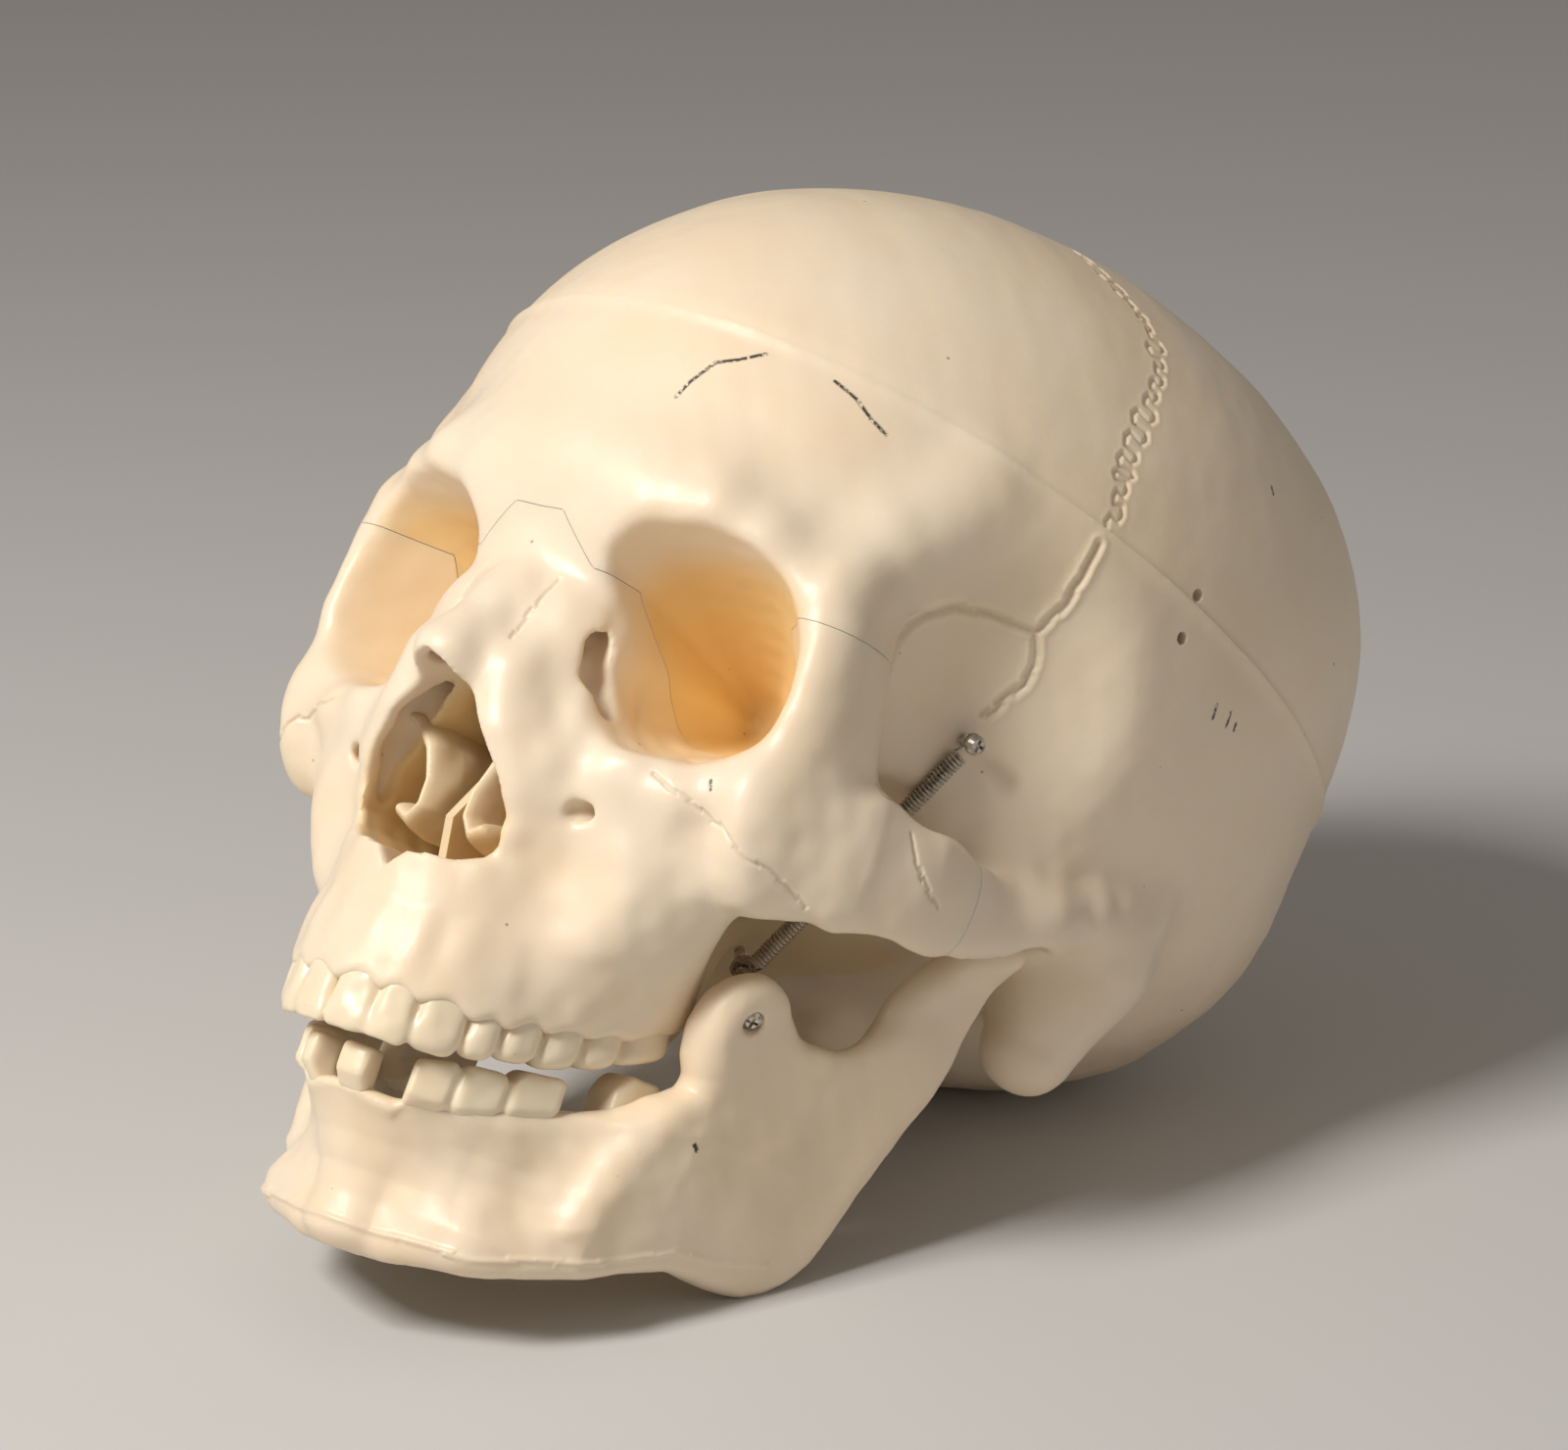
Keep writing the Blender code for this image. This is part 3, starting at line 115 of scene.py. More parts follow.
def moulded_skin():
    """Colour, roughness and height of the vinyl: flow waves, pebbling, specks, rubs, grime, and a painted
    glow of bounced light in the deep hollows.
    """
    white, ink = (1.0, 1.0, 1.0, 1.0), (0.035, 0.03, 0.028, 1)
    group, given = shader_group("moulded_skin", {
        "Colour": white, "Warm": white, "Grime": white, "Place": None, "Gloss": 0.4, "Groove": 0.0,
        "Specks": 1.0, "Painted_glow": 0.0, "Ink": 0.0})
    times, plus = partial(maths, group, "MULTIPLY"), partial(maths, group, "ADD")
    between, blend = partial(ramp, group), partial(mixed, group)
    grain = partial(noise, group, given["Place"])
    waves, mottle, pebble, rubs = grain(22, 2), grain(90, 4, 0.6), grain(750, 3, 0.55), grain(210, 5, 0.65)
    warmth = plus(times(between(waves, 0.38, 0.68), 0.55), times(between(mottle, 0.45, 0.75), 0.25), True)
    colour = blend(warmth, given["Colour"], given["Warm"])
    # Painted light: a warm orange glow mixed in where the deep hollows are marked, standing in for light
    # bounced about inside the translucent plastic
    colour = blend(given["Painted_glow"], colour, (0.88, 0.64, 0.31, 1))
    dots = add(group, "ShaderNodeTexVoronoi", {"Vector": given["Place"], "Scale": 260.0, "Randomness": 1.0})
    chance = add(group, "ShaderNodeSeparateColor", {0: dots.outputs["Color"]}).outputs[0]
    size = times(between(chance, 0.90, 1.0), 0.10)
    speck = between(maths(group, "SUBTRACT", size, dots.outputs["Distance"]), 0.0, 0.03)
    speck = times(speck, given["Specks"])
    groove = times(given["Groove"], between(rubs, 0.30, 0.62))
    colour = blend(plus(times(speck, 0.55), times(groove, 0.55), True), colour, given["Grime"])
    smudge = times(given["Ink"], between(grain(1600, 2), 0.34, 0.52))
    patchy = times(maths(group, "SUBTRACT", mottle, 0.5), 0.22)
    worn = times(between(rubs, 0.52, 0.72), 0.12)
    height = plus(plus(times(pebble, 0.35), times(mottle, 0.9)), times(waves, 2.0))
    return put_out(group, blend(smudge, colour, ink), plus(plus(given["Gloss"], patchy), worn), height)


MOULDED_SKIN = moulded_skin()


def coated(name, group, inputs, relief, masks=()):
    """A material whose colour, roughness and fine relief come from a group; also its shader's sockets."""
    made = bpy.data.materials.new(name)
    made.use_nodes = True
    tree = made.node_tree
    skin = tree.nodes["Principled BSDF"].inputs
    inputs["Place"] = add(tree, "ShaderNodeTexCoord").outputs["Object"]
    for mask in masks:
        inputs[mask] = add(tree, "ShaderNodeAttribute", attribute_name=mask.lower()).outputs["Fac"]
    given = add(tree, "ShaderNodeGroup", inputs, node_tree=group).outputs
    bump = add(tree, "ShaderNodeBump", {"Distance": relief, "Height": given["Height"]})
    fill(tree, skin["Base Color"], given["Colour"])
    fill(tree, skin["Roughness"], given["Roughness"])
    fill(tree, skin["Normal"], bump.outputs["Normal"])
    return made, bump.inputs, skin


def ivory(name, colour, warm, gloss=0.40, specks=1.0, wave=0.00006):
    """One ivory piece's material; colours are what the surface shows in even light, except the painted glow
    laid into the deep hollows.
    """
    inputs = {"Colour": (*colour, 1), "Warm": (*warm, 1), "Grime": (0.10, 0.065, 0.035, 1),
              "Gloss": gloss, "Specks": specks}
    made, bump, skin = coated(name, MOULDED_SKIN, inputs, wave, ("Groove", "Painted_glow", "Ink"))
    bump["Strength"].default_value = 1.0
    skin["Subsurface Weight"].default_value = 0.22
    skin["Subsurface Radius"].default_value = (1.0, 0.55, 0.22)
    skin["Subsurface Scale"].default_value = 0.0025
    skin["IOR"].default_value = 1.5
    return made


BONE_COLOUR, BONE_WARM = (0.88, 0.745, 0.575), (0.86, 0.68, 0.465)

# ---- The shape of the skull ----
# The braincase, its base, the face and the cheek arches are one continuous bone form on the real
# model, moulded hollow and then cut into cap, base and face block. It is described here as
# rounded solids melted into each other, in millimetres, on the left side, and mirrored.
f32 = np.float32


def graph(x, places, heights):
    return np.interp(x, places, heights).astype(f32)


def oval(p, centre, radii):
    q = p - np.array(centre, f32)
    r = np.array(radii, f32)
    near = np.sqrt(((q / r) ** 2).sum(1))
    return near * (near - 1) / (np.sqrt(((q / (r * r)) ** 2).sum(1)) + 1e-6)


def limb(p, a, b, ra, rb, squeeze=1.0):
    """A round limb from a to b whose radius runs from ra to rb; squeeze thins it sideways."""
    a = np.array(a, f32)
    d = np.array(b, f32) - a
    q = p - a
    t = np.clip(q @ d / (d @ d), 0, 1)
    w = q - t[:, None] * d
    r = ra + (rb - ra) * t
    if squeeze == 1.0:
        return np.sqrt((w ** 2).sum(1)) - r
    wide = (w ** 2).sum(1) + w[:, 0] ** 2 * (squeeze ** 2 - 1)
    return (np.sqrt(wide) - r) / (squeeze * 0.5 + 0.5)


def melt(a, b, blend):
    h = np.maximum(blend - np.abs(a - b), 0) / blend
    return np.minimum(a, b) - h * h * blend * 0.25


def both(a, b, blend):
    return -melt(-a, -b, blend)


def carve(a, b, blend):
    return both(a, -b, blend)


def ridge(p, stations, blend, squeeze=1.0):
    """Limbs through stations of x, y, z and radius."""
    out = None
    for a, b in zip(stations[:-1], stations[1:]):
        d = limb(p, a[:3], b[:3], a[3], b[3], squeeze)
        out = d if out is None else melt(out, d, blend)
    return out


def outline(u, v, points):
    """Distance to a closed outline in a plane, below zero inside."""
    pts = np.array(points, f32)
    d = np.full(len(u), 1e9, f32)
    inside = np.zeros(len(u), bool)
    for a, b in zip(np.roll(pts, 1, 0), pts):
        e = b - a
        qx, qy = u - a[0], v - a[1]
        t = np.clip((qx * e[0] + qy * e[1]) / (e @ e), 0, 1)
        d = np.minimum(d, (qx - t * e[0]) ** 2 + (qy - t * e[1]) ** 2)
        rise = e[1] if abs(e[1]) > 1e-6 else 1e-6
        inside ^= ((a[1] <= v) != (b[1] <= v)) & (u < a[0] + (v - a[1]) / rise * e[0])
    return np.where(inside, -1, 1) * np.sqrt(d)


def along_line(plan, path):
    """Distance along a line through places on the plan, and outwards from it."""
    best = np.full(len(plan), 1e9, f32)
    s, n = np.zeros(len(plan), f32), np.zeros(len(plan), f32)
    gone = 0.0
    last = len(path) - 2
    for i in range(last + 1):
        a = np.array(path[i], f32)
        d = np.array(path[i + 1], f32) - a
        length = float(np.linalg.norm(d))
        u = d / length
        q = plan - a
        t = np.clip(q @ u, -1e9 if i == 0 else 0, 1e9 if i == last else length)
        off = q - t[:, None] * u
        square = (off ** 2).sum(1)
        side = np.sign(q @ np.array((u[1], -u[0]), f32))
        closer = square < best
        best[closer] = square[closer]
        s[closer] = gone + t[closer]
        n[closer] = (side * np.sqrt(square))[closer]
        gone += length
    return s, n


def spline(a, b, c, d, t):
    """A smooth way through four places in a row, at shares t of the stretch from b to c."""
    return (b * 2 + (c - a) * t + (a * 2 - b * 5 + c * 4 - d) * t ** 2 + (b * 3 - a - c * 3 + d) * t ** 3) / 2


PLAN_LOW, PLAN_STEP, PLAN_SIZE = (-2, -116), 0.5, (150, 280)


def plan_table(points):
    """Distances along and out from a smooth curve through these places, tabled over the plan."""
    pts = np.array(points, float)
    pts = np.vstack([pts[1] * (-1, 1), pts, 2 * pts[-1] - pts[-2]])
    shares = (np.arange(6) / 6)[:, None]
    curve = spline(pts[:-3, None], pts[1:-2, None], pts[2:-1, None], pts[3:, None], shares)
    curve = np.vstack([curve.reshape(-1, 2), pts[-2]])
    axes = [PLAN_LOW[i] + np.arange(PLAN_SIZE[i]) * PLAN_STEP for i in (0, 1)]
    grid = np.stack(np.meshgrid(*axes, indexing="ij"), -1).reshape(-1, 2).astype(f32)
    table = np.stack(along_line(grid, curve), -1).reshape(*PLAN_SIZE, 2)
    for _ in range(4):
        for axis in (0, 1):
            padded = np.pad(table, [(1, 1) if i == axis else (0, 0) for i in range(3)], "edge")
            table = (np.delete(padded, (-1, -2), axis) + 2 * table + np.delete(padded, (0, 1), axis)) / 4
    return table.astype(f32)


def along(p, table):
    """Distance along a tabled plan curve from the middle of the mouth, and outwards from it."""
    place = [np.clip((p[:, i] - PLAN_LOW[i]) / PLAN_STEP, 0, PLAN_SIZE[i] - 1.001) for i in (0, 1)]
    i, j = (a.astype(int) for a in place)
    u, v = ((a - a.astype(int))[:, None] for a in place)
    near = table[i, j] * (1 - u) * (1 - v) + table[i + 1, j] * u * (1 - v)
    both_ways = near + table[i, j + 1] * (1 - u) * v + table[i + 1, j + 1] * u * v
    return both_ways[:, 0], both_ways[:, 1]


def uneven(p, length, seed):
    """Soft random hills about this long, mostly between -1 and 1, the same at every run."""
    random = np.random.default_rng(seed)
    turns = random.normal(size=(3, 12))
    turns *= math.tau / (length * random.uniform(0.7, 1.4, 12)) / np.linalg.norm(turns, axis=0)
    return np.sin(p @ turns.astype(f32) + random.uniform(0, math.tau, 12).astype(f32)).sum(1) / 3.5


def only_near(p, low, high, field):
    """A field inside a box of places, and far from anything outside it."""
    inside = ((p > np.array(low, f32)) & (p < np.array(high, f32))).all(1)
    d = np.full(len(p), 20, f32)
    d[inside] = field(p[inside])
    return d


def rounded(points, steps=4):
    """A closed outline through the same points with its corners eased."""
    pts = np.array(points, float)
    before, after, last = np.roll(pts, 1, 0), np.roll(pts, -1, 0), np.roll(pts, -2, 0)
    t = (np.arange(steps) / steps)[:, None, None]
    eased = spline(before, pts, after, last, t).transpose(1, 0, 2)
    return tuple(map(tuple, eased.reshape(-1, 2)))


BRAINCASE = (((0, 15.4, 56.3), (71, 74.3, 60.3), 0), ((0, -23.4, 46.6), (62.5, 68, 62.3), 25),
    ((0, 2.8, 28), (63.4, 51, 44), 18), ((0, 39, 20), (59, 46.2, 43.4), 20))
BRAIN_ROOM = (((0, 15.4, 56.3), (66, 69.3, 55.3), 0), ((0, -25.5, 64), (53, 53, 37), 25),
    ((0, 4, 31), (57.5, 40, 37), 18), ((0, 39, 20), (54, 41.2, 38.4), 20))


def ovals(p, table):
    d = None
    for centre, radii, blend in table:
        o = oval(p, centre, radii)
        d = o if d is None else melt(d, o, blend)
    return d


def brow(p):
    d = oval(p, (0, -80, 41), (22, 13.2, 10))
    rim = ridge(p, ((10, -84, 31, 5), (18, -85.5, 37.5, 5), (27.5, -84.5, 39.5, 4.6), (35.5, -80, 37, 4.3),
                    (41.5, -74.5, 32, 4.4), (45.5, -71.5, 25, 4.6)), 2)
    line = ridge(p, ((43, -71, 33, 4.2), (46, -65, 45, 3.2), (50, -54, 59, 2.5)), 2)
    return melt(melt(d, rim, 9), line, 9)


def temple(p):
    d = limb(p, (53.5, 9.5, 0), (51.5, 8.5, -16.5), 13, 8)
    crest = ridge(p, ((60.5, 12, 9, 4), (62.5, -4, 5, 4), (62.2, -15, 1.5, 4.4)), 2)
    root = ridge(p, ((62, -13, 0.5, 4.4), (61.6, -25, -2.2, 5.2), (60.6, -40, -3.5, 6.0)), 2, 1.8)
    roof = oval(p, (54, -18, 1.5), (11, 14, 6.5))
    spike = limb(p, (42, -2, -18), (36, -10, -38), 3, 1.2)
    d = melt(melt(d, crest, 6), root, 5)
    return melt(melt(d, roof, 5), spike, 3)


def underside(p):
    core = limb(p, (0, 2, -16), (0, -32, 0), 11, 13)
    wings = oval(p, (14, -37, -20), (4, 6, 19))
    knuckle = oval(p, (15, 8, -24), (6, 11, 6))
    wing = oval(p, (30, -42, -2), (24, 16, 10))
    return melt(melt(melt(core, wings, 5), knuckle, 5), wing, 8)


# Places on the outer faces of the upper teeth, from the middle of the mouth to its back, and for
# each of the eight teeth of one side: where it starts and ends along them, biting edge and gum
TOOTH_PATH = ((0, -99.2), (4, -98.7), (9.8, -96.8), (15.6, -92.2), (20.8, -84.5), (23.5, -77.8),
    (25.8, -71.2), (28, -64), (29.7, -56.4), (30.5, -49), (31, -42))
TOOTH_TABLE = plan_table(TOOTH_PATH)
TEETH = ((0, 8.2, -55.3, -46.6), (8.2, 14.9, -55.0, -46.6), (14.9, 23.4, -54.4, -45.8),
    (23.6, 29.6, -52.9, -45.9), (29.6, 36.8, -51.2, -44.4), (36.8, 44.2, -49.9, -42.3),
    (44.2, 51.2, -47.5, -40.1), (51.2, 60.3, -43.9, -37.8))


def upper_jaw(p):
    body = oval(p, (17.5, -67, -18), (18.5, 20, 25))
    s, n = along(p, TOOTH_TABLE)
    root = np.zeros(len(p), f32)
    for start, end, foot, gum in TEETH:
        root = np.maximum(root, np.exp(-((s - (start + end) / 2) / ((end - start) * 0.33)) ** 2).astype(f32))
    line = np.interp(s, (0, 12, 20, 27, 33, 41, 48, 56, 62),
                     (-46.9, -46.9, -46.0, -46.1, -44.7, -42.4, -40.1, -37.7, -36))
    line = line.astype(f32) - 1.3 * (1 - root)
    rise = np.clip((p[:, 2] - line) / 14, 0, 1)
    face = graph(s, (0, 15, 23, 30, 45, 60), (0.9, 0.9, 1.1, 1.2, 1.2, 1.2))
    face = face + (0.35 + root * 0.2) * np.sin(np.pi * rise)
    face = face - graph(s, (0, 14, 24), (2.4, 2.0, 0.8)) * rise
    gum = both(np.maximum(n - face, -11.5 - n), np.maximum(line - p[:, 2], p[:, 2] + 24), 1.8)
    gum = both(gum, s - 61, 4)
    palate = oval(p, (0, -66, -30), (24, 26, 5))
    side = ridge(p, ((7, -79.5, 30, 5.6), (10.5, -84.0, 14, 6.8), (15, -84.8, -6, 7.4), (16, -82, -22, 7),
                     (9, -82.5, -30, 7.2)), 4)
    rim = ridge(p, ((13, -79.5, 16, 4.5), (18, -82, 4, 4.5), (27, -81.5, -3, 5), (36, -78.3, -4.4, 5),
                    (43.5, -74.5, 0, 5.5), (47.2, -71.5, 12, 5.6), (47.0, -71.5, 27, 5.2)), 3)
    process = ridge(p, ((48.2, -69.5, 31, 7.4), (49.0, -67.5, 21, 8.6), (49.4, -66.0, 11, 10.5),
                        (48.8, -65.5, 0, 11)), 3, 2.1)
    cheek = oval(p, (44.5, -67.5, -4.6), (10.5, 9.8, 12.6))
    buttress = limb(p, (34.5, -67.5, -13), (27, -62, -30), 7.6, 5.0)
    front = oval(p, (25, -73, -14), (14, 11.5, 17))
    spine = limb(p, (0, -86, -28), (0, -95.6, -25.2), 3.2, 0.9)
    d = melt(body, gum, 6)
    for piece, blend in ((palate, 4), (side, 6), (front, 8), (rim, 5), (process, 3), (cheek, 6),
                         (buttress, 8), (spine, 3)):
        d = melt(d, piece, blend)
    arch = ridge(p, ((48, -67, -4.0, 12), (55.5, -56, -4, 10.5), (59.5, -44, -3.9, 8.6),
                     (60.8, -33, -3.2, 7.2)), 3, 2.3)
    return melt(d, arch, 4)


def nose_bones(p):
    middle = ridge(p, ((0, -80, 35, 6.4), (0, -84.2, 25, 6.0), (0, -90.5, 16.5, 5.8),
                       (0, -100.6, 5.0, 5.6)), 4)
    side = ridge(p, ((5.5, -80.5, 29, 5.2), (7.4, -85.2, 17, 6.2), (7.6, -93.0, 4.6, 5.6),
                     (10.0, -92.6, -3, 5.2), (12.4, -90.2, -9, 4.8), (14.4, -87.2, -16, 4.6)), 4)
    return melt(middle, side, 4)


# The rim of the eye socket, seen from its inner end as it shows 40 mm in front of that end
SOCKET_END = (14, -40, 16)
SOCKET_RIM = rounded(((0.2, 10.5), (3.4, 14.6), (9, 17.0), (18, 18.4), (27, 16.6), (32.6, 10.6),
    (35.4, 3), (34.4, -7), (28.5, -13.0), (19, -15), (11.5, -14.8), (6.4, -11.6), (4.2, -6),
    (4.0, 0), (1.6, 6)))


def eye_socket(p):
    def opening(q):
        reach = np.clip((SOCKET_END[1] - q[:, 1]) / 40, 0.02, 1.8) ** 0.75
        across, up = (q[:, 0] - SOCKET_END[0]) / reach, (q[:, 2] - SOCKET_END[2]) / reach
        side = outline(across, up, SOCKET_RIM) * reach
        return both(side * 0.9, q[:, 1] + 42, 3)
    return only_near(p, (-1, -112, -18), (66, -34, 56), opening)


def nose_opening(p):
    half = np.interp(p[:, 2], (-66, -25.8, -24.8, -23, -20, -16, -12, -9, -5, -1, 1.5, 3.2, 4.6, 120),
                     (-36, 3.0, 10, 12.8, 14.6, 14.9, 13.7, 12, 9.5, 6.6, 4.7, 2.9, 0, -110))
    return np.maximum((p[:, 0] - half.astype(f32)) * 0.85, np.maximum(p[:, 1] + 48, -p[:, 1] - 125))


def bone(q):
    """The whole outer form of the skull without its teeth, for places with x above zero."""
    d = ovals(q, BRAINCASE)
    d = melt(d, brow(q), 10)
    d = melt(d, temple(q), 8)
    d = melt(d, underside(q), 8)
    d = carve(d, oval(q, (77, -47, 20), (26.3, 26, 36)), 10)
    d = melt(d, melt(upper_jaw(q), nose_bones(q), 4), 4)
    socket = eye_socket(q)
    d = melt(d, both(socket - 2.4, -74 - q[:, 1], 2), 3)
    d = carve(d, oval(q, (43, -43, -14), (14, 16, 26)), 5)
    d = carve(d, limb(q, (57, -39, 17), (48, -41, 0), 3.4, 5), 3)
    d = carve(d, socket, 1.4)
    d = carve(d, both(nose_bones(q) + 2.6, q[:, 2] - 14, 1), 0.8)
    d = carve(d, nose_opening(q), 0.8)
    tear_duct = ridge(q, ((12.6, -84.6, 19.5, 1.2), (14.4, -86.6, 13.8, 2.3), (15.8, -85.6, 9.2, 2.4),
                          (18.4, -83.2, 5.6, 1.4)), 1)
    d = carve(d, tear_duct, 2.2)
    d = carve(d, oval(q, (27, -90.5, -24), (8, 7, 10)), 7)
    d = carve(d, limb(q, (23.5, -86, -11.5), (27.5, -80, -8.5), 1.3, 2.0), 2.2)
    d = carve(d, oval(q, (52, -13.8, -5.5), (12.5, 6.6, 6.4)), 3)
    calm = np.clip((q[:, 2] - 15) / 30, 0, 1)
    return d - (0.2 - 0.11 * calm) * uneven(q, 17, 3) - (0.07 - 0.045 * calm) * uneven(q, 6, 4)


# Both halves of the seam, and the outlines that the cap and the face block are cut along
SEAM = 0.05
CAP_SLOPE, CUT_HEIGHT = math.radians(10.9), 54.3
MIDFACE = ((-134, 25.7), (-79.2, 25.7), (-50.4, -6), (-42, -10), (-42, -74.8), (-134, -74.8))
CHEEK = ((-134, 27.4), (-58, 27.4), (-58, -74.8), (-134, -74.8))
ARCH = ((-67.2, 7), (-35, 7), (-35, -22), (-67.2, -22))
NOSE_ROOT = ((-12, 8.8), (-12, 25.7), (-5, 33.1), (5, 33.1), (12, 25.7), (12, 8.8))
WALL = 2.4


def above_cut(q):
    return (q[:, 2] - CUT_HEIGHT) * math.cos(CAP_SLOPE) + q[:, 1] * math.sin(CAP_SLOPE)


def outside_face(q):
    x, y, z = q.T
    midface = np.maximum(outline(y, z, MIDFACE), x - 37.5)
    cheek = np.maximum(outline(y, z, CHEEK), 36.5 - x)
    arch = np.maximum(outline(y, z, ARCH), 46.5 - x)
    root = np.maximum(outline(x, z, NOSE_ROOT), y + 80)
    return np.minimum(np.minimum(midface, cheek), np.minimum(arch, root))


def shell(q):
    """The bone form with the brain room and the great hole taken out of it."""
    d = bone(q)
    room = np.maximum(ovals(q, BRAIN_ROOM), d + WALL)
    hole = (np.sqrt((q[:, 0] / 15) ** 2 + ((q[:, 1] - 20) / 18) ** 2) - 1) * 15
    hole = np.maximum(hole, q[:, 2] - 10)
    return carve(d, np.minimum(room, hole), 0.8)


def ledge(q, side):
    """Where they meet, the cap (side 1) is a little smaller and the base (side -1) a little larger."""
    up = np.maximum(above_cut(q) * side, 0)
    reach, depth = (1.5, 0.40) if side > 0 else (1.2, 0.62)
    return (depth * side * np.exp(-(up / reach) ** 2)).astype(f32)


CUBE = [(i, j, k) for i in (0, 1) for j in (0, 1) for k in (0, 1)]


def net(values, low, step):
    """The surface where a block of values crosses zero, as corners and four-sided faces."""
    inside = values < 0
    nx, ny, nz = values.shape
    count = np.zeros((nx - 1, ny - 1, nz - 1), np.int8)
    for i, j, k in CUBE:
        count += inside[i:nx - 1 + i, j:ny - 1 + j, k:nz - 1 + k]
    cells = np.argwhere((count > 0) & (count < 8))
    number = np.full(count.shape, -1, np.int32)
    number[tuple(cells.T)] = np.arange(len(cells))
    at = {c: values[cells[:, 0] + c[0], cells[:, 1] + c[1], cells[:, 2] + c[2]] for c in CUBE}
    places = np.zeros((len(cells), 3), f32)
    crossings = np.zeros(len(cells), f32)
    for c in CUBE:
        for axis in range(3):
            if c[axis]:
                continue
            other = tuple(1 if i == axis else c[i] for i in range(3))
            a, b = at[c], at[other]
            cut = (a < 0) != (b < 0)
            share = np.where(cut, a / np.where(cut, a - b, 1), 0)
            for i in range(3):
                places[:, i] += np.where(cut, share if i == axis else c[i], 0)
            crossings += cut
    places = (places / crossings[:, None] + cells) * step + np.array(low, f32)
    faces = []
    for axis in range(3):
        p, q = [i for i in range(3) if i != axis]
        first, second = [slice(1, -1)] * 3, [slice(1, -1)] * 3
        first[axis], second[axis] = slice(0, -1), slice(1, None)
        edges = np.argwhere(inside[tuple(first)] != inside[tuple(second)])
        edges[:, (p, q)] += 1
        outward = inside[tuple(edges.T)]
        ring = []
        for back_p, back_q in ((0, 0), (1, 0), (1, 1), (0, 1)):
            cell = edges.copy()
            cell[:, p] -= back_p
            cell[:, q] -= back_q
            ring.append(number[tuple(cell.T)])
        quads = np.stack(ring, 1)
        turned = ~outward if axis != 1 else outward
        quads[turned] = quads[turned][:, ::-1]
        faces.append(quads)
    return places, np.concatenate(faces)


BLOCK = 8


def sampled(field, low, high, step):
    """Values of a field on a grid over x from 0 up, exact near its surface; the rest is far."""
    low, high = np.array(low, float), np.array(high, float)
    blocks = np.ceil((high - low) / step / BLOCK).astype(int)
    size = tuple(blocks * BLOCK + 1)
    middles = [low[a] + (np.arange(blocks[a]) + 0.5) * step * BLOCK for a in range(3)]
    probes = np.stack(np.meshgrid(*middles, indexing="ij"), -1).reshape(-1, 3).astype(f32)
    rough = field(probes).reshape(blocks)
    near = np.abs(rough) < step * BLOCK * 1.2 + 1
    values = np.full(size, 10, f32)
    wanted = np.zeros(size, bool)

    def spread(a):
        for axis in range(3):
            a = np.repeat(a, BLOCK, axis)
        return a

    values[:-1, :-1, :-1] = spread(np.where(rough < 0, -10, 10).astype(f32))
    full = spread(near)
    for i, j, k in CUBE:
        wanted[i:size[0] - 1 + i, j:size[1] - 1 + j, k:size[2] - 1 + k] |= full
    index = np.argwhere(wanted)
    points = (index * step + low).astype(f32)
    found = np.empty(len(points), f32)
    for start in range(0, len(points), 300000):
        found[start:start + 300000] = field(points[start:start + 300000])
    values[tuple(index.T)] = found
    return values, index, points


def mirrored(values, low, step):
    whole = np.concatenate([values[:0:-1], values], 0)
    return whole, (-(values.shape[0] - 1) * step, low[1], low[2])


def formed(field, low, high, step, halved=True):
    """The surface of a field over a box; a halved one is given for x from 0 up and is mirrored."""
    values = sampled(field, low, high, step)[0]
    return net(*(mirrored(values, low, step) if halved else (values, low)), step)


def left(points):
    q = points.copy()
    q[:, 0] = np.abs(q[:, 0])
    return q


def slope_of(field, points, nudge):
    """How fast a field grows along each axis."""
    slope = np.zeros_like(points)
    for axis in range(3):
        aside = np.zeros(3, f32)
        aside[axis] = nudge
        slope[:, axis] = (field(left(points + aside)) - field(left(points - aside))) / (2 * nudge)
    return slope


def crisp(places, solid, cut, step):
    """Pulls corners that a cut has rounded out onto the line where the cut leaves the surface."""
    q = left(places)
    a, b = solid(q), cut(q)
    close = np.maximum(np.abs(a), np.abs(b)) < step * 0.9
    edge = np.nonzero(close & (np.abs(np.maximum(a, b)) > step * 0.02))[0]
    for _ in range(3):
        here = places[edge]
        values = np.stack([field(left(here)) for field in (solid, cut)], 1).astype(float)
        rows = np.stack([slope_of(field, here, 0.05) for field in (solid, cut)], 1).astype(float)
        gram = rows @ rows.transpose(0, 2, 1) + np.eye(2) * 1e-3
        weights = np.linalg.solve(gram, values[..., None])
        move = (rows.transpose(0, 2, 1) @ weights)[..., 0]
        places[edge] -= np.clip(move, -step, step).astype(f32)
    return places


def placed(name, data):
    made = bpy.data.objects.new(name, data)
    bpy.context.scene.collection.objects.link(made)
    return made


def solid_mesh(name, places, faces, material):
    """A smooth mesh object from corners, still in the skull's millimetres."""
    used, new = np.unique(faces, return_inverse=True)
    faces = new.reshape(faces.shape).astype(np.int32)
    mesh = bpy.data.meshes.new(name)
    mesh.vertices.add(len(used))
    mesh.vertices.foreach_set("co", places[used].astype(f32).ravel())
    mesh.loops.add(faces.size)
    mesh.loops.foreach_set("vertex_index", faces.ravel())
    mesh.polygons.add(len(faces))
    mesh.polygons.foreach_set("loop_start", np.arange(0, faces.size, faces.shape[1], dtype=np.int32))
    mesh.update(calc_edges=True)
    mesh.validate()
    mesh.shade_smooth()
    mesh.materials.append(material)
    return placed(name, mesh)


def settle(made, body, *nodes):
    """Moves a finished piece from the skull's millimetres to its place on the table."""
    made.data.transform(STANCE)
    if nodes:
        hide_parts(*nodes)
    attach(made, body)


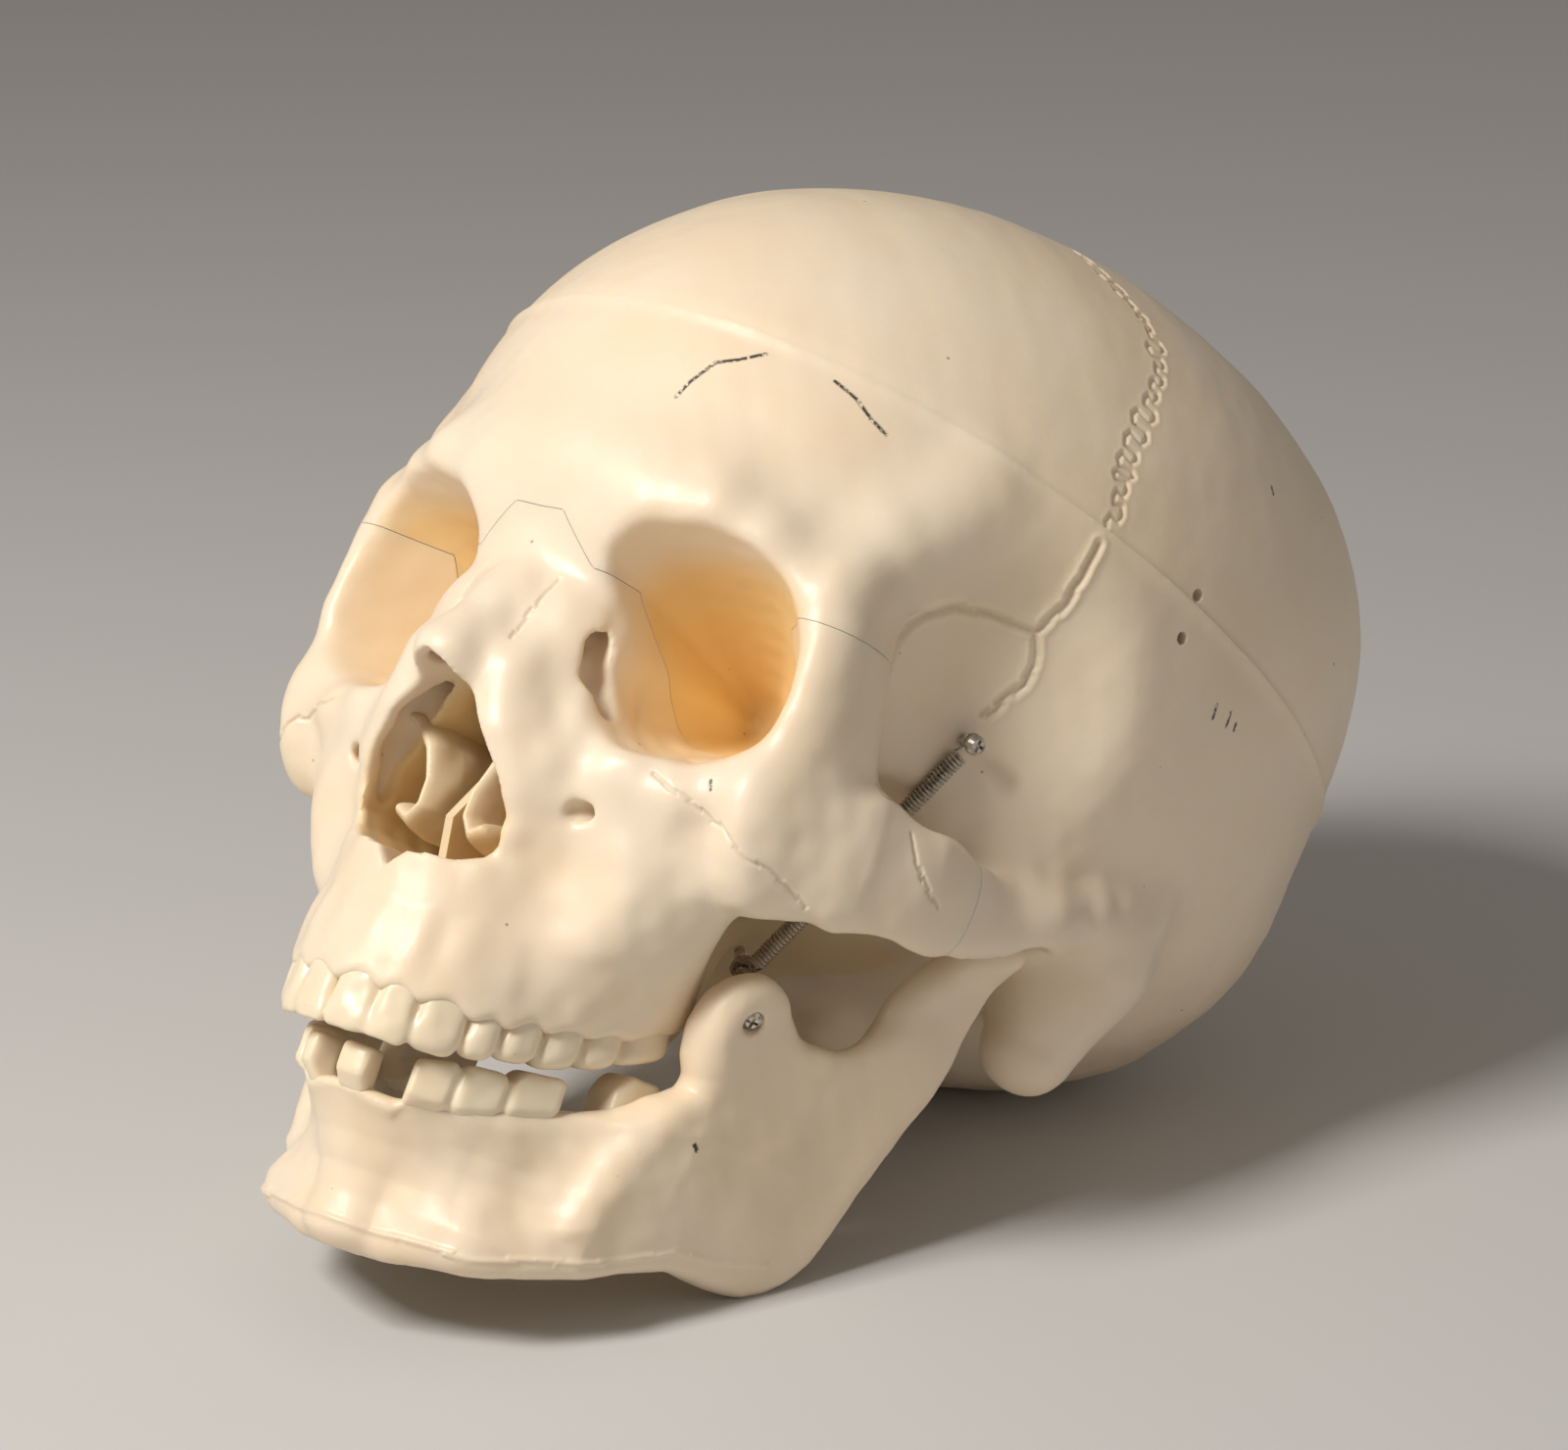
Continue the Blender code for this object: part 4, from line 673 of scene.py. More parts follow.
def read(items, name, width=3):
    """One measure of every corner or face of a mesh."""
    values = np.empty(len(items) * width, f32)
    items.foreach_get(name, values)
    return values.reshape(-1, width)


def corners(made):
    return read(made.data.vertices, "co")


def mark(made, name, values):
    """Keeps the larger of these values and those already marked on the piece's corners."""
    layer = made.data.attributes.get(name) or made.data.attributes.new(name, "FLOAT", "POINT")
    old = read(layer.data, "value", 1)[:, 0]
    layer.data.foreach_set("value", np.maximum(old, values).astype(f32))


def gap_to(points, line):
    """Distance to a line through places, for points near it."""
    line = np.array(line, f32)
    gap = np.full(len(points), 50, f32)
    some = ((points > line.min(0) - 6) & (points < line.max(0) + 6)).all(1)
    p = points[some]
    best = np.full(len(p), 2500, f32)
    for a, b in zip(line[:-1], line[1:]):
        d = b - a
        t = np.clip((p - a) @ d / (d @ d + 1e-9), 0, 1)
        best = np.minimum(best, ((p - a - t[:, None] * d) ** 2).sum(1))
    gap[some] = np.sqrt(best)
    return gap


def refined(made, lines, reach, cuts):
    """Splits the faces near some lines, so that fine work can be pressed into them."""
    mesh = made.data
    centres = read(mesh.polygons, "center")
    near = np.zeros(len(centres), bool)
    for line in lines:
        near |= gap_to(centres, line) < reach
    bm = bmesh.new()
    bm.from_mesh(mesh)
    bm.faces.ensure_lookup_table()
    edges = {edge for i in np.nonzero(near)[0] for edge in bm.faces[i].edges}
    bmesh.ops.subdivide_edges(bm, edges=list(edges), cuts=cuts, use_grid_fill=True)
    bm.to_mesh(mesh)
    bm.free()


def pressed(made, lines, width, depth, lip, grime):
    """Presses a rounded groove along lines, with a soft lip beside it, and lets grime sit in it."""
    mesh = made.data
    places = corners(made)
    normals = read(mesh.vertex_normals, "vector")
    gap = np.full(len(places), 50, f32)
    for line in lines:
        gap = np.minimum(gap, gap_to(places, line))
    push = -depth * np.exp(-(gap / width) ** 2) + lip * np.exp(-((gap - 2.1 * width) / width) ** 2)
    mesh.vertices.foreach_set("co", (places + normals * push[:, None]).astype(f32).ravel())
    mesh.update()
    mark(made, "groove", grime * np.exp(-(gap / (width * 0.8)) ** 2))


def drilled(made, place, aim, radius, depth):
    """Sinks a round blind hole with a sharp rim."""
    places = corners(made)
    aim = np.array(aim, f32) / np.linalg.norm(aim)
    away = places - np.array(place, f32)
    along_aim = away @ aim
    out = np.linalg.norm(away - along_aim[:, None] * aim, axis=1)
    sink = np.clip((radius + 0.10 - out) / 0.20, 0, 1) * (np.abs(along_aim) < 3)
    made.data.vertices.foreach_set("co", (places + aim * (sink * depth)[:, None]).astype(f32).ravel())
    made.data.update()
    mark(made, "groove", 0.8 * np.clip((radius + 0.3 - out) / 0.2, 0, 1) * (np.abs(along_aim) < 3))


def unit(way):
    return way / np.linalg.norm(way)


def both_sides(line):
    return [tuple(line), tuple((-x, y, z) for x, y, z in line)]


def onto(points, field):
    """Moves places onto a field's surface."""
    points = np.array(points, f32)
    for _ in range(4):
        value = field(left(points))
        slope = slope_of(field, points, 0.1)
        points = points - slope * (value / np.maximum((slope ** 2).sum(1), 0.2))[:, None]
    return points


def stitched(points, step, swing, seed):
    """A line that wanders in rounded loops about the one through these places, as sutures do."""
    pts = np.array(points, float)
    gone = np.concatenate([[0], np.cumsum(np.linalg.norm(np.diff(pts, axis=0), axis=1))])
    random = np.random.default_rng(seed)
    t, made = 0.0, []

    def place(at):
        return np.array([np.interp(at, gone, pts[:, a]) for a in range(3)])

    while t < gone[-1]:
        size = swing * random.uniform(0.35, 1.25) * min(1, t / 6 + 0.15, (gone[-1] - t) / 6 + 0.3)
        length = step * random.uniform(0.6, 1.5)
        for i in range(8):
            turn = math.tau * i / 8
            at = min(t + length * i / 8 - 0.16 * length * math.sin(2 * turn), gone[-1])
            here = place(at)
            side = np.cross(unit(here), place(at + 0.5) - place(at - 0.5))
            side /= np.linalg.norm(side) + 1e-9
            made.append(here + side * size * math.sin(turn))
        t += length
    return made


def main_part(places, faces):
    """Only the largest connected part of a mesh."""
    group = np.arange(len(places))
    while True:
        low = group[faces].min(1)
        new = group.copy()
        np.minimum.at(new, faces.ravel(), np.repeat(low, faces.shape[1]))
        new = new[new]
        if (new == group).all():
            break
        group = new
    owner = group[faces[:, 0]]
    names, sizes = np.unique(owner, return_counts=True)
    return faces[owner == names[sizes.argmax()]]


# ---- Base, cap and face block ----
# Three mouldings from one tool: the base carries the brow, temples and underside, the cap lifts
# off along a sawn line, and the face block is glued in along straight seams in the eye sockets.
CASE_STEP = 0.85
FACE_STEP = 0.6
FINE = 3
bone_skin = ivory("bone_plastic", BONE_COLOUR, BONE_WARM)


def cut_piece(name, sample, low, step, cut, side=0):
    values, index, points = sample
    part = values.copy()
    at = tuple(index.T)
    part[at] = np.maximum(part[at] + ledge(points, side), cut(points))
    whole, start = mirrored(part, low, step)
    places, faces = net(whole, start, step)
    faces = main_part(places, faces)
    places = crisp(places, lambda q: shell(q) + ledge(q, side), cut, step)
    made = solid_mesh(name, places, faces, bone_skin)
    made.data.set_sharp_from_angle(angle=math.radians(44))
    return made


def sawn(made, keep_above):
    """Cuts a closed piece straight along the cap's plane and closes the cut face."""
    bm = bmesh.new()
    bm.from_mesh(made.data)
    normal = Vector((0, math.sin(CAP_SLOPE), math.cos(CAP_SLOPE)))
    place = Vector((0, 0, CUT_HEIGHT)) + normal * (0.02 if keep_above else -0.01)
    cut = bmesh.ops.bisect_plane(
        bm, geom=bm.verts[:] + bm.edges[:] + bm.faces[:], dist=1e-4, plane_co=place,
        plane_no=normal, clear_inner=keep_above, clear_outer=not keep_above)
    rim = [edge for edge in cut["geom_cut"] if isinstance(edge, bmesh.types.BMEdge)]
    bmesh.ops.triangle_fill(bm, edges=rim, use_beauty=False, normal=-normal if keep_above else normal)
    for edge in rim:
        edge.smooth = False
    bm.to_mesh(made.data)
    bm.free()


def paint_hollow_glow(made, socket_glow_share):
    """Paints a warm orange glow on the deep walls of the eye sockets, nose and throat: painted light,
    standing in for light bounced about and shining through the plastic.
    """
    q = left(corners(made))
    socket = socket_glow_share * np.clip((q[:, 1] + 82) / 8, 0, 1) * (eye_socket(q) < 1.0)
    nose = 0.9 * np.clip((q[:, 1] + 97) / 10, 0, 1) * (nose_opening(q) < 1.0)
    throat = 0.5 * np.clip((q[:, 1] + 62) / 10, 0, 1) * (q[:, 0] < 36) * (q[:, 2] < -6) * (q[:, 1] < -12)
    mark(made, "painted_glow", np.maximum(np.maximum(socket, nose), throat).astype(f32))


CASE_LOW, CASE_HIGH = (0, -100, -42), (78, 94, 122)
case = sampled(shell, CASE_LOW, CASE_HIGH, CASE_STEP)
cap = cut_piece("cap_shell", case, CASE_LOW, CASE_STEP, lambda q: -2.5 - above_cut(q), 1)
sawn(cap, True)
base = cut_piece("base_shell", case, CASE_LOW, CASE_STEP,
                 lambda q: np.maximum(above_cut(q) - 2.5, SEAM - outside_face(q)), -1)
sawn(base, False)
FACE_LOW, FACE_HIGH = (0, -112, -56), (70, -33, 36)
front = sampled(shell, FACE_LOW, FACE_HIGH, FACE_STEP)
face = cut_piece("face_shell", front, FACE_LOW, FACE_STEP, lambda q: outside_face(q) + SEAM)
# Painted glow of bounced light in the deep hollows, full on the base and fainter on the face block's socket
# floors
paint_hollow_glow(base, 1.0)
paint_hollow_glow(face, 0.4)

# The sutures are engraved: a looped one over the crown, then plainer ones down to the temple
CROWN_SUTURE = ((21.5, -14.5, 111.5), (30.2, -17, 109.7), (37.5, -17.2, 106), (43.8, -17.3, 101.7),
    (52.6, -20.9, 92.8), (57.3, -27.5, 84), (60.8, -32.8, 73.9), (63.8, -34.5, 61.9))
LOW_SUTURE = ((63.8, -36.4, 58.5), (63.5, -36.8, 54.2), (61.7, -36.5, 46.4), (59.4, -37.3, 41.5))
WING_SUTURE = ((47.0, -62.5, 28.5), (50.8, -59.2, 33.7), (52.4, -56.5, 37), (54.5, -51.5, 40.2),
    (56.5, -44.7, 41.2), (59.4, -37.3, 41.5))
EAR_SUTURE = ((59.4, -37.3, 41.5), (59.3, -34.5, 37.5), (58, -34.3, 33.1), (55.2, -36.6, 26.8))
CHEEK_SUTURE = ((34, -84.6, -2.8), (37.3, -83.9, -4.3), (39.9, -82.4, -4.9), (41.9, -80.7, -5.7),
    (43.8, -79.2, -7.1), (45.9, -79.5, -7.1), (48.4, -79.0, -9.3), (50.2, -77.6, -10.7),
    (52.6, -74, -11), (54.4, -68.8, -12.4), (55.3, -64.7, -14.4))
ARCH_CREASE = ((60.2, -52.5, 3.2), (62, -51.2, -0.7), (63.1, -48.2, -3.6), (63.5, -44.1, -5.5))
NOSE_SUTURE = ((7.7, -91.3, 22.3), (7.5, -93.9, 17), (7.1, -95.4, 11.9), (9.4, -97.3, 6.8), (8.9, -98, 3.6))


def engraved(made, sutures, reach, *groove):
    """Engraves sutures on both sides; each is a route with its stitches' length, swing and seed."""
    lines = []
    for route, *stitches in sutures:
        lines += both_sides(onto(stitched(onto(route, bone), *stitches), bone))
    refined(made, lines, reach, FINE)
    pressed(made, lines, *groove)


# Ink that earlier owners left on the plastic: thin strokes on the brow and short ones elsewhere
BROW_INK = (((15.2, -88.8, 55.5), (16.0, -88.0, 58.5), (18, -86, 62.9)), ((18, -86, 62.9),
    (21, -84.6, 64.6), (24, -82.4, 66.9)), ((35.0, -77.4, 66.6), (38.2, -74.6, 64.6),
    (40.7, -72.3, 61.9)), ((41.0, -72.0, 61.8), (42.7, -70.5, 60.6)))
SIDE_INK = (((71.4, -1.4, 44.7), (71.5, -1.1, 42.4)), ((71.5, 2.6, 44.9), (71.5, 3.0, 42.4)),
    ((71.5, 5.2, 43.7), (71.5, 5.4, 42.6)))
CROWN_INK = (((63.6, 4.0, 84.0), (64.1, 4.3, 82.7)),)
CHEEK_INK = (((42.4, -80.8, -1.2), (42.7, -80.4, -2.4)),)


def inked(made, strokes, field, width=0.42):
    lines = [onto(stroke, field) for stroke in strokes]
    refined(made, lines, 1.0, FINE)
    places = corners(made)
    for line in lines:
        mark(made, "ink", np.clip((width - gap_to(places, line)) / 0.25, 0, 1))


engraved(cap, ((CROWN_SUTURE, 3.7, 1.7, 9),), 2.2, 0.42, 0.40, 0.04, 0.2)
engraved(base, ((LOW_SUTURE, 5.0, 0.22, 6), (WING_SUTURE, 9, 0.4, 7), (EAR_SUTURE, 5, 0.6, 8)),
         1.8, 0.60, 0.55, 0.22, 0.3)
engraved(face, ((CHEEK_SUTURE, 6.5, 0.22, 10), (ARCH_CREASE, 3.0, 0.35, 16), (NOSE_SUTURE, 5, 0.35, 11)),
         1.2, 0.36, 0.34, 0.0, 0.3)
# Two blind holes beside the sawn line are where a closing hook was screwed on
for made, place in ((cap, (69.6, -14.1, 58.9)), (base, (69.9, -14.7, 51.3))):
    holes = [(tuple(onto(line, bone)[0]),) * 2 for line in both_sides((place,))]
    refined(made, holes, 1.9, FINE + 2)
    for hole in holes:
        drilled(made, hole[0], (-math.copysign(1, hole[0][0]), 0, 0), 0.95, 2.6)
inked(base, BROW_INK + SIDE_INK, bone)
inked(cap, CROWN_INK, bone)
inked(face, CHEEK_INK, bone)
settle(cap, "cap", "skull_cap")
settle(base, "skull", "skull_base")
settle(face, "skull", "face_block")

# ---- Upper teeth ----
# Sixteen crowns moulded in one with the face block, a shade lighter and glossier than the bone:
# square chisels in front, round beads behind the canines and broad blocks at the back.
TOOTH_STEP = 0.38
tooth_skin = ivory("tooth_plastic", (0.88, 0.765, 0.585), (0.85, 0.69, 0.47), 0.32, 0.4, 0.00004)
# How square each tooth is, how deep at its neck and at its edge, and how its edge slopes
CROWNS = ((4.6, 6.4, 2.6, 0.0), (4.2, 6.0, 2.6, 0.0), (3.8, 7.4, 5.2, 0.03), (2.8, 8.0, 6.2, 0.15),
    (2.8, 8.0, 6.4, 0.22), (3.3, 9.6, 8.4, 0.28), (3.3, 9.6, 8.2, 0.33), (4.2, 8.6, 7.6, 0.42))


def crown(s, n, z, place, form):
    """A rounded block with its outer face at n = 0, waisted towards the gum."""
    start, end, foot, gum = place
    square, neck, edge, slope = form
    s = s - (start + end) / 2
    foot = foot + slope * s
    up = np.clip((z - foot) / (gum - foot), 0, 1.3)
    half = (end - start) * (0.535 - 0.035 * up)
    deep = (edge + (neck - edge) * np.clip(up * 1.4, 0, 1)) / 2
    middle, tall = (foot + gum + 2.6) / 2, (gum + 2.6 - foot) / 2
    k = np.abs(s / half) ** square + np.abs((n - 0.3 + deep) / deep) ** 2.6
    k = k + np.abs((z - middle) / tall) ** (square + 0.6)
    return (k ** (1 / square) - 1) * np.minimum(deep, half)


def upper_teeth(q):
    s, n = along(q, TOOTH_TABLE)
    d = np.full(len(q), 20, f32)
    for place, form in zip(TEETH, CROWNS):
        d = melt(d, crown(s, n, q[:, 2], place, form), 0.7)
    return d + 0.04 * uneven(q, 3.5, 12)


places, faces = formed(upper_teeth, (0, -100, -58), (38, -36, -30), TOOTH_STEP)
settle(solid_mesh("upper_teeth", places, faces, tooth_skin), "skull")

# ---- Lower jaw ----
# One solid moulding hinged at its two rounded heads. A parting line runs along its lower edge, and
# flat-bottomed gaps are cut where three teeth are missing.
LOWER_PATH = ((0, -92.5), (6, -91.5), (11.4, -88.6), (16, -83.8), (20, -77.5), (23, -72),
    (25.3, -67), (27.5, -61), (29.5, -54.5), (31, -48), (33, -40), (36, -28), (40, -12))
LOWER_TABLE = plan_table(LOWER_PATH)
RAMUS = rounded(((-62, -72), (-58, -52), (-53, -45), (-55.5, -40), (-57, -35), (-56.5, -29.5),
    (-54, -26), (-50, -24), (-45, -25), (-41, -28.5), (-36, -30.5), (-28, -29.5), (-24.5, -25),
    (-24, -18), (-20, -11), (-16, -8), (-12, -7), (-9, -9), (-8.5, -20), (-10, -33), (-12.5, -46),
    (-14, -57), (-16.5, -66), (-24, -72), (-33, -71.5), (-42, -68.5), (-50, -71)), 3)
JAW_STEP = 0.6
OUT_OF_JAW, OUT_OF_TEMPLE = unit((0.70, -0.48, -0.53)), unit((0.908, -0.373, -0.190))
HEAD_HEIGHT = 1.3


def axis_place(node, outward):
    """The outer end of a turned piece's own axis, in millimetres, for an axis pointing outward."""
    back = STANCE.inverted()
    places = corners(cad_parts[node]) @ np.array(back.to_3x3()).T + np.array(back.translation)
    axes = np.linalg.svd(np.array(outward)[None])[2]
    spread = places @ axes.T
    middle = (spread.max(0) + spread.min(0)) / 2
    middle[0] = np.dot(axes[0], outward) * (places @ outward).max()
    return middle @ axes


JAW_SEAT = axis_place("left_jaw_screw", OUT_OF_JAW) - OUT_OF_JAW * HEAD_HEIGHT


def jaw_outside(s, z):
    """How far the jaw's outer and inner faces stand from the path, along it and up it."""
    front = np.interp(z, (-88.5, -87, -84.5, -81.5, -78, -74, -69, -64, -61, -59),
                      (-12.8, -11.0, -9.9, -9.6, -9.7, -9.0, -6.8, -3.5, -0.6, 0.3))
    side = np.interp(z, (-86, -82, -78, -74, -70, -66, -61, -57),
                     (-3, -0.7, -0.4, -2.4, -3.6, -3.2, -0.7, 0.3))
    high = np.clip((z + 72) / 14, 0, 1)
    side = side + (1 - high) * np.interp(s, (28, 43, 55, 63), (0, 3, 5.6, 6.5))
    side = side + high * np.interp(s, (40, 50, 58), (0, 1.5, 5))
    inner_front = np.interp(z, (-86, -82, -76, -68, -60), (-16, -18.5, -17.5, -14, -10.5))
    inner_side = np.interp(s, (26, 43, 60), (-9, -8, -2))
    t = np.clip((s - 15.5) / 17, 0, 1)
    t = t * t * (3 - 2 * t)
    inner = inner_front + (inner_side - inner_front) * t
    return (front + (side - front) * t).astype(f32), inner.astype(f32)


LIP = ((0, 6.6, 12.1, 13.3, 16.7, 23.1, 30.4, 39.5, 46, 58),
    (-62.8, -63.7, -64.2, -62.3, -61.1, -60.1, -57.5, -54.7, -54, -51))


def jaw(q):
    middle = 55.2 + 0.217 * q[:, 1] + 0.186 * q[:, 2]
    thick = graph(q[:, 1], (-60, -45, -30, -10), (4.2, 3.4, 2.8, 3.6))
    ramus = both(outline(q[:, 1], q[:, 2], RAMUS), np.abs(q[:, 0] - middle) * 0.962 - thick, 4)
    head = oval(q, (51, -13.5, -5.6), (9.5, 4.8, 4.8))
    s, n = along(q, LOWER_TABLE)
    outer, inner = jaw_outside(s, q[:, 2])
    outer = outer + (0.7 * np.exp(-((q[:, 2] - np.interp(s, *LIP)) / 1.1) ** 2)).astype(f32)
    low = graph(s, (0, 8, 16, 25, 34, 43, 52, 59, 66, 72, 78, 100),
                (-87.2, -87.2, -87.0, -86.0, -84.1, -81.4, -78.2, -74.8, -71.5, -70, -69.5, -71))
    top = graph(s, (0, 7, 12, 16, 23, 30, 39.5, 46, 58, 66),
                (-61.8, -62, -61.8, -61, -60, -57.6, -54.8, -53.4, -50, -47))
    body = both(np.maximum(low - q[:, 2], q[:, 2] - top), np.maximum(n - outer, inner - n) * 0.94, 4)
    body = both(body, s - 78, 8)
    d = melt(melt(ramus, body, 7), head, 4)
    ahead = (q - JAW_SEAT.astype(f32)) @ OUT_OF_JAW.astype(f32)
    beside = np.sqrt(np.maximum(((q - JAW_SEAT.astype(f32)) ** 2).sum(1) - ahead ** 2, 0))
    d = carve(d, np.maximum(beside - 1.85, np.maximum(-ahead, ahead - 8)), 0.4)
    return d - 0.2 * uneven(q, 15, 5) - 0.07 * uneven(q, 6, 6)


# The lower teeth are blocks with cut sides, from s to s along the path; below zero is the right side
LOWER_BLOCKS = ((-0.2, 6.0), (-11, -6.8), (-38.1, -14.5), (12.3, 38.1), (46.3, 57.0),
    (-57.0, -46.3))


def lower_row(p):
    q = left(p)
    s, n = along(q, LOWER_TABLE)
    top = graph(s, (0, 8, 12.5, 20, 26, 28.4, 31, 36.5, 39, 43.5, 49, 54, 57),
                (-56, -56, -55.4, -53.6, -52.9, -53.0, -51.2, -50.4, -51, -48.2, -45.8, -45.6, -47.5))
    deep = graph(s, (0, 12, 25, 40), (2.6, 3.2, 3.8, 4.4))
    under_lip = np.clip((np.interp(s, *LIP) - q[:, 2]) / 1.5, 0, 2).astype(f32)
    face = np.minimum(0.0, jaw_outside(s, q[:, 2])[0] + 0.35) - 0.9 * under_lip
    signed = s * np.where(p[:, 0] < 0, -1, 1)
    d = np.full(len(p), 20, f32)
    for start, end in LOWER_BLOCKS:
        low_end = 2.4 if min(abs(start), abs(end)) > 40 else 0.0
        block = both(np.abs(signed - (start + end) / 2) - (end - start) / 2, q[:, 2] - top, 0.8 + low_end)
        d = np.minimum(d, block)
    d = both(np.maximum(d, top - 11 - q[:, 2]), np.abs(n - face + deep) - deep, 1.6)
    for split in (12.3, 20.4, 28.9):
        d = d + 0.75 * np.exp(-((s - split) / 0.8) ** 2)
    return (d + 0.05 * uneven(q, 3.5, 13)).astype(f32)


places, faces = formed(jaw, (0, -104, -92), (66, 2, 4), JAW_STEP)
jaw_piece = solid_mesh("jaw_shell", places, main_part(places, faces), bone_skin)
PARTING = ((0, -83.4, -82.6), (8.5, -82.4, -82.8), (19.2, -74.8, -81.9), (30, -63.1, -77.7),
    (35.7, -51.8, -73.6), (38.4, -44.4, -69.4), (40.3, -35.1, -68.5), (40.8, -25.2, -65.5))
parting = both_sides(onto(stitched(PARTING, 14, 0.25, 14), jaw))
refined(jaw_piece, parting, 1.3, FINE - 1)
pressed(jaw_piece, parting, 0.5, -0.42, 0.0, 0.12)
inked(jaw_piece, (((38.6, -50.3, -52.5), (38.8, -49.4, -53.3)),), jaw, 0.5)
settle(jaw_piece, "jaw", "mandible")

settle(solid_mesh("lower_teeth", *formed(lower_row, (-38, -97, -72), (38, -40, -42), TOOTH_STEP, False),
                  tooth_skin), "jaw")

# ---- Nose inserts ----
# A thin upright plate stands between the nostrils and a curled shelf hangs from each side wall,
# pushed in from behind; the shelves are moulded thick, with soft rounded front ends.
insert_skin = ivory("insert_plastic", (0.86, 0.73, 0.52), (0.80, 0.60, 0.36), 0.42, 0.5)


def dressed(part, material):
    part.data.materials.clear()
    part.data.materials.append(material)


dressed(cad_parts["nasal_septum"], insert_skin)
SCROLL = ((15.5, 0, -3.2), (11, 0, -4.2), (7.2, 0, -8), (5.0, 0, -13), (4.9, 0, -17.2),
    (6.8, 0, -19.8), (8.9, 0, -18.6))


def scroll(q):
    flat = q * np.array((1, 0, 1), f32)
    nose = np.sqrt(np.clip((q[:, 1] + 90.5) / 7, 0.0, 1)).astype(f32)
    near = gap_to(flat, SCROLL) - 2.0 * nose - 0.2 * uneven(q, 7, 15)
    return both(near, np.maximum(-90.3 - q[:, 1], q[:, 1] + 68), 1.5)


places, faces = formed(scroll, (1, -97, -24), (19, -64, 1), 0.4, False)
for label, side in (("left", 1), ("right", -1)):
    turned = places * np.array((side, 1, 1), f32)
    scrolled = solid_mesh(label + "_scroll", turned, faces[:, ::side], insert_skin)
    settle(scrolled, "skull", label + "_concha")


# ---- Screws, nuts, pins and springs ----
# Small plated machine screws with cross recesses, hexagon nuts of blackened steel, and two closely
# wound wire springs, dulled by age, that pull the jaw shut from the temples.
def worn_steel():
    """Tarnish in patches and fine drawing marks over a plain plated steel."""
    white = (1.0, 1.0, 1.0, 1.0)
    inputs = {"Colour": white, "Tarnish": white, "Place": None, "Rough": 0.2}
    group, given = shader_group("worn_steel", inputs)
    times, plus = partial(maths, group, "MULTIPLY"), partial(maths, group, "ADD")
    patches = ramp(group, noise(group, given["Place"], 900, 4, 0.6), 0.46, 0.66)
    grain = noise(group, given["Place"], 6000, 3)
    colour = mixed(group, times(patches, 0.75), given["Colour"], given["Tarnish"])
    rough = plus(plus(times(grain, 0.2), times(patches, 0.22)), given["Rough"])
    return put_out(group, colour, rough, grain)


WORN_STEEL = worn_steel()


def steel(name, colour, tarnish, rough):
    inputs = {"Colour": (*colour, 1), "Tarnish": (*tarnish, 1), "Rough": rough}
    made, bump, skin = coated(name, WORN_STEEL, inputs, 0.00002)
    bump["Strength"].default_value = 0.5
    skin["Metallic"].default_value = 1.0
    return made


nickel = steel("nickel_screws", (0.66, 0.62, 0.55), (0.30, 0.25, 0.18), 0.16)
dark = steel("dark_springs", (0.50, 0.46, 0.40), (0.22, 0.18, 0.13), 0.17)
for name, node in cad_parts.items():
    if "screw" in name or "pin" in name or "nut" in name:
        dressed(node, dark if "nut" in name else nickel)


def wire(name, route, radius, sides, material):
    """A round wire along a route, its section carried from point to point without twist."""
    route = np.array(route, float)
    ways = np.gradient(route, axis=0)
    ways /= np.linalg.norm(ways, axis=1)[:, None]
    across = np.cross(ways[0], (0.31, 0.52, 0.79))
    turns = np.arange(sides) * math.tau / sides
    rings = []
    for place, way in zip(route, ways):
        across = unit(across - way * (across @ way))
        other = np.cross(way, across)
        rings.append(place + radius * (np.cos(turns)[:, None] * across + np.sin(turns)[:, None] * other))
    places = np.concatenate(rings + [route[:1], route[-1:]])
    index = np.arange(len(route) * sides).reshape(-1, sides)
    next_index = np.roll(index, -1, 1)
    quads = np.stack([index[:-1], next_index[:-1], next_index[1:], index[1:]], -1).reshape(-1, 4)
    first, last = len(places) - 2, len(places) - 1
    caps = [(first, b, a) for a, b in zip(index[0], next_index[0])]
    caps += [(last, a, b) for a, b in zip(index[-1], next_index[-1])]
    mesh = bpy.data.meshes.new(name)
    mesh.from_pydata(places.tolist(), [], quads.tolist() + caps)
    mesh.shade_smooth()
    mesh.materials.append(material)
    return placed(name, mesh)


THREAD_PITCH, THREAD_RADIUS = 0.4, 0.99


def thread(name, start, end, body):
    """The fine ridge of a screw thread round a shank."""
    run = end - start
    length = np.linalg.norm(run)
    way = run / length
    one = unit(np.cross(way, (0.2, 0.9, 0.4)))
    two = np.cross(way, one)
    turns = length / THREAD_PITCH
    t = np.linspace(0, 1, int(turns * 14))
    a = (t * turns * math.tau)[:, None]
    ring = (one * np.cos(a) + two * np.sin(a)) * THREAD_RADIUS
    made = wire(name, start + run * t[:, None] + ring, 0.13, 5, nickel)
    made.data.transform(STANCE)
    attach(made, body)


# The springs, in millimetres; each coil starts and ends its lead away from the screw
COIL_TURNS, COIL_RADIUS, COIL_LEAD, HOOK_RADIUS, WIRE_RADIUS = 68, 1.28, 2.74, 1.54, 0.24


def hook(centre, towards, across):
    angles = np.radians(np.arange(60, 331, 15))[:, None]
    return centre + (towards * np.cos(angles) + across * np.sin(angles)) * HOOK_RADIUS


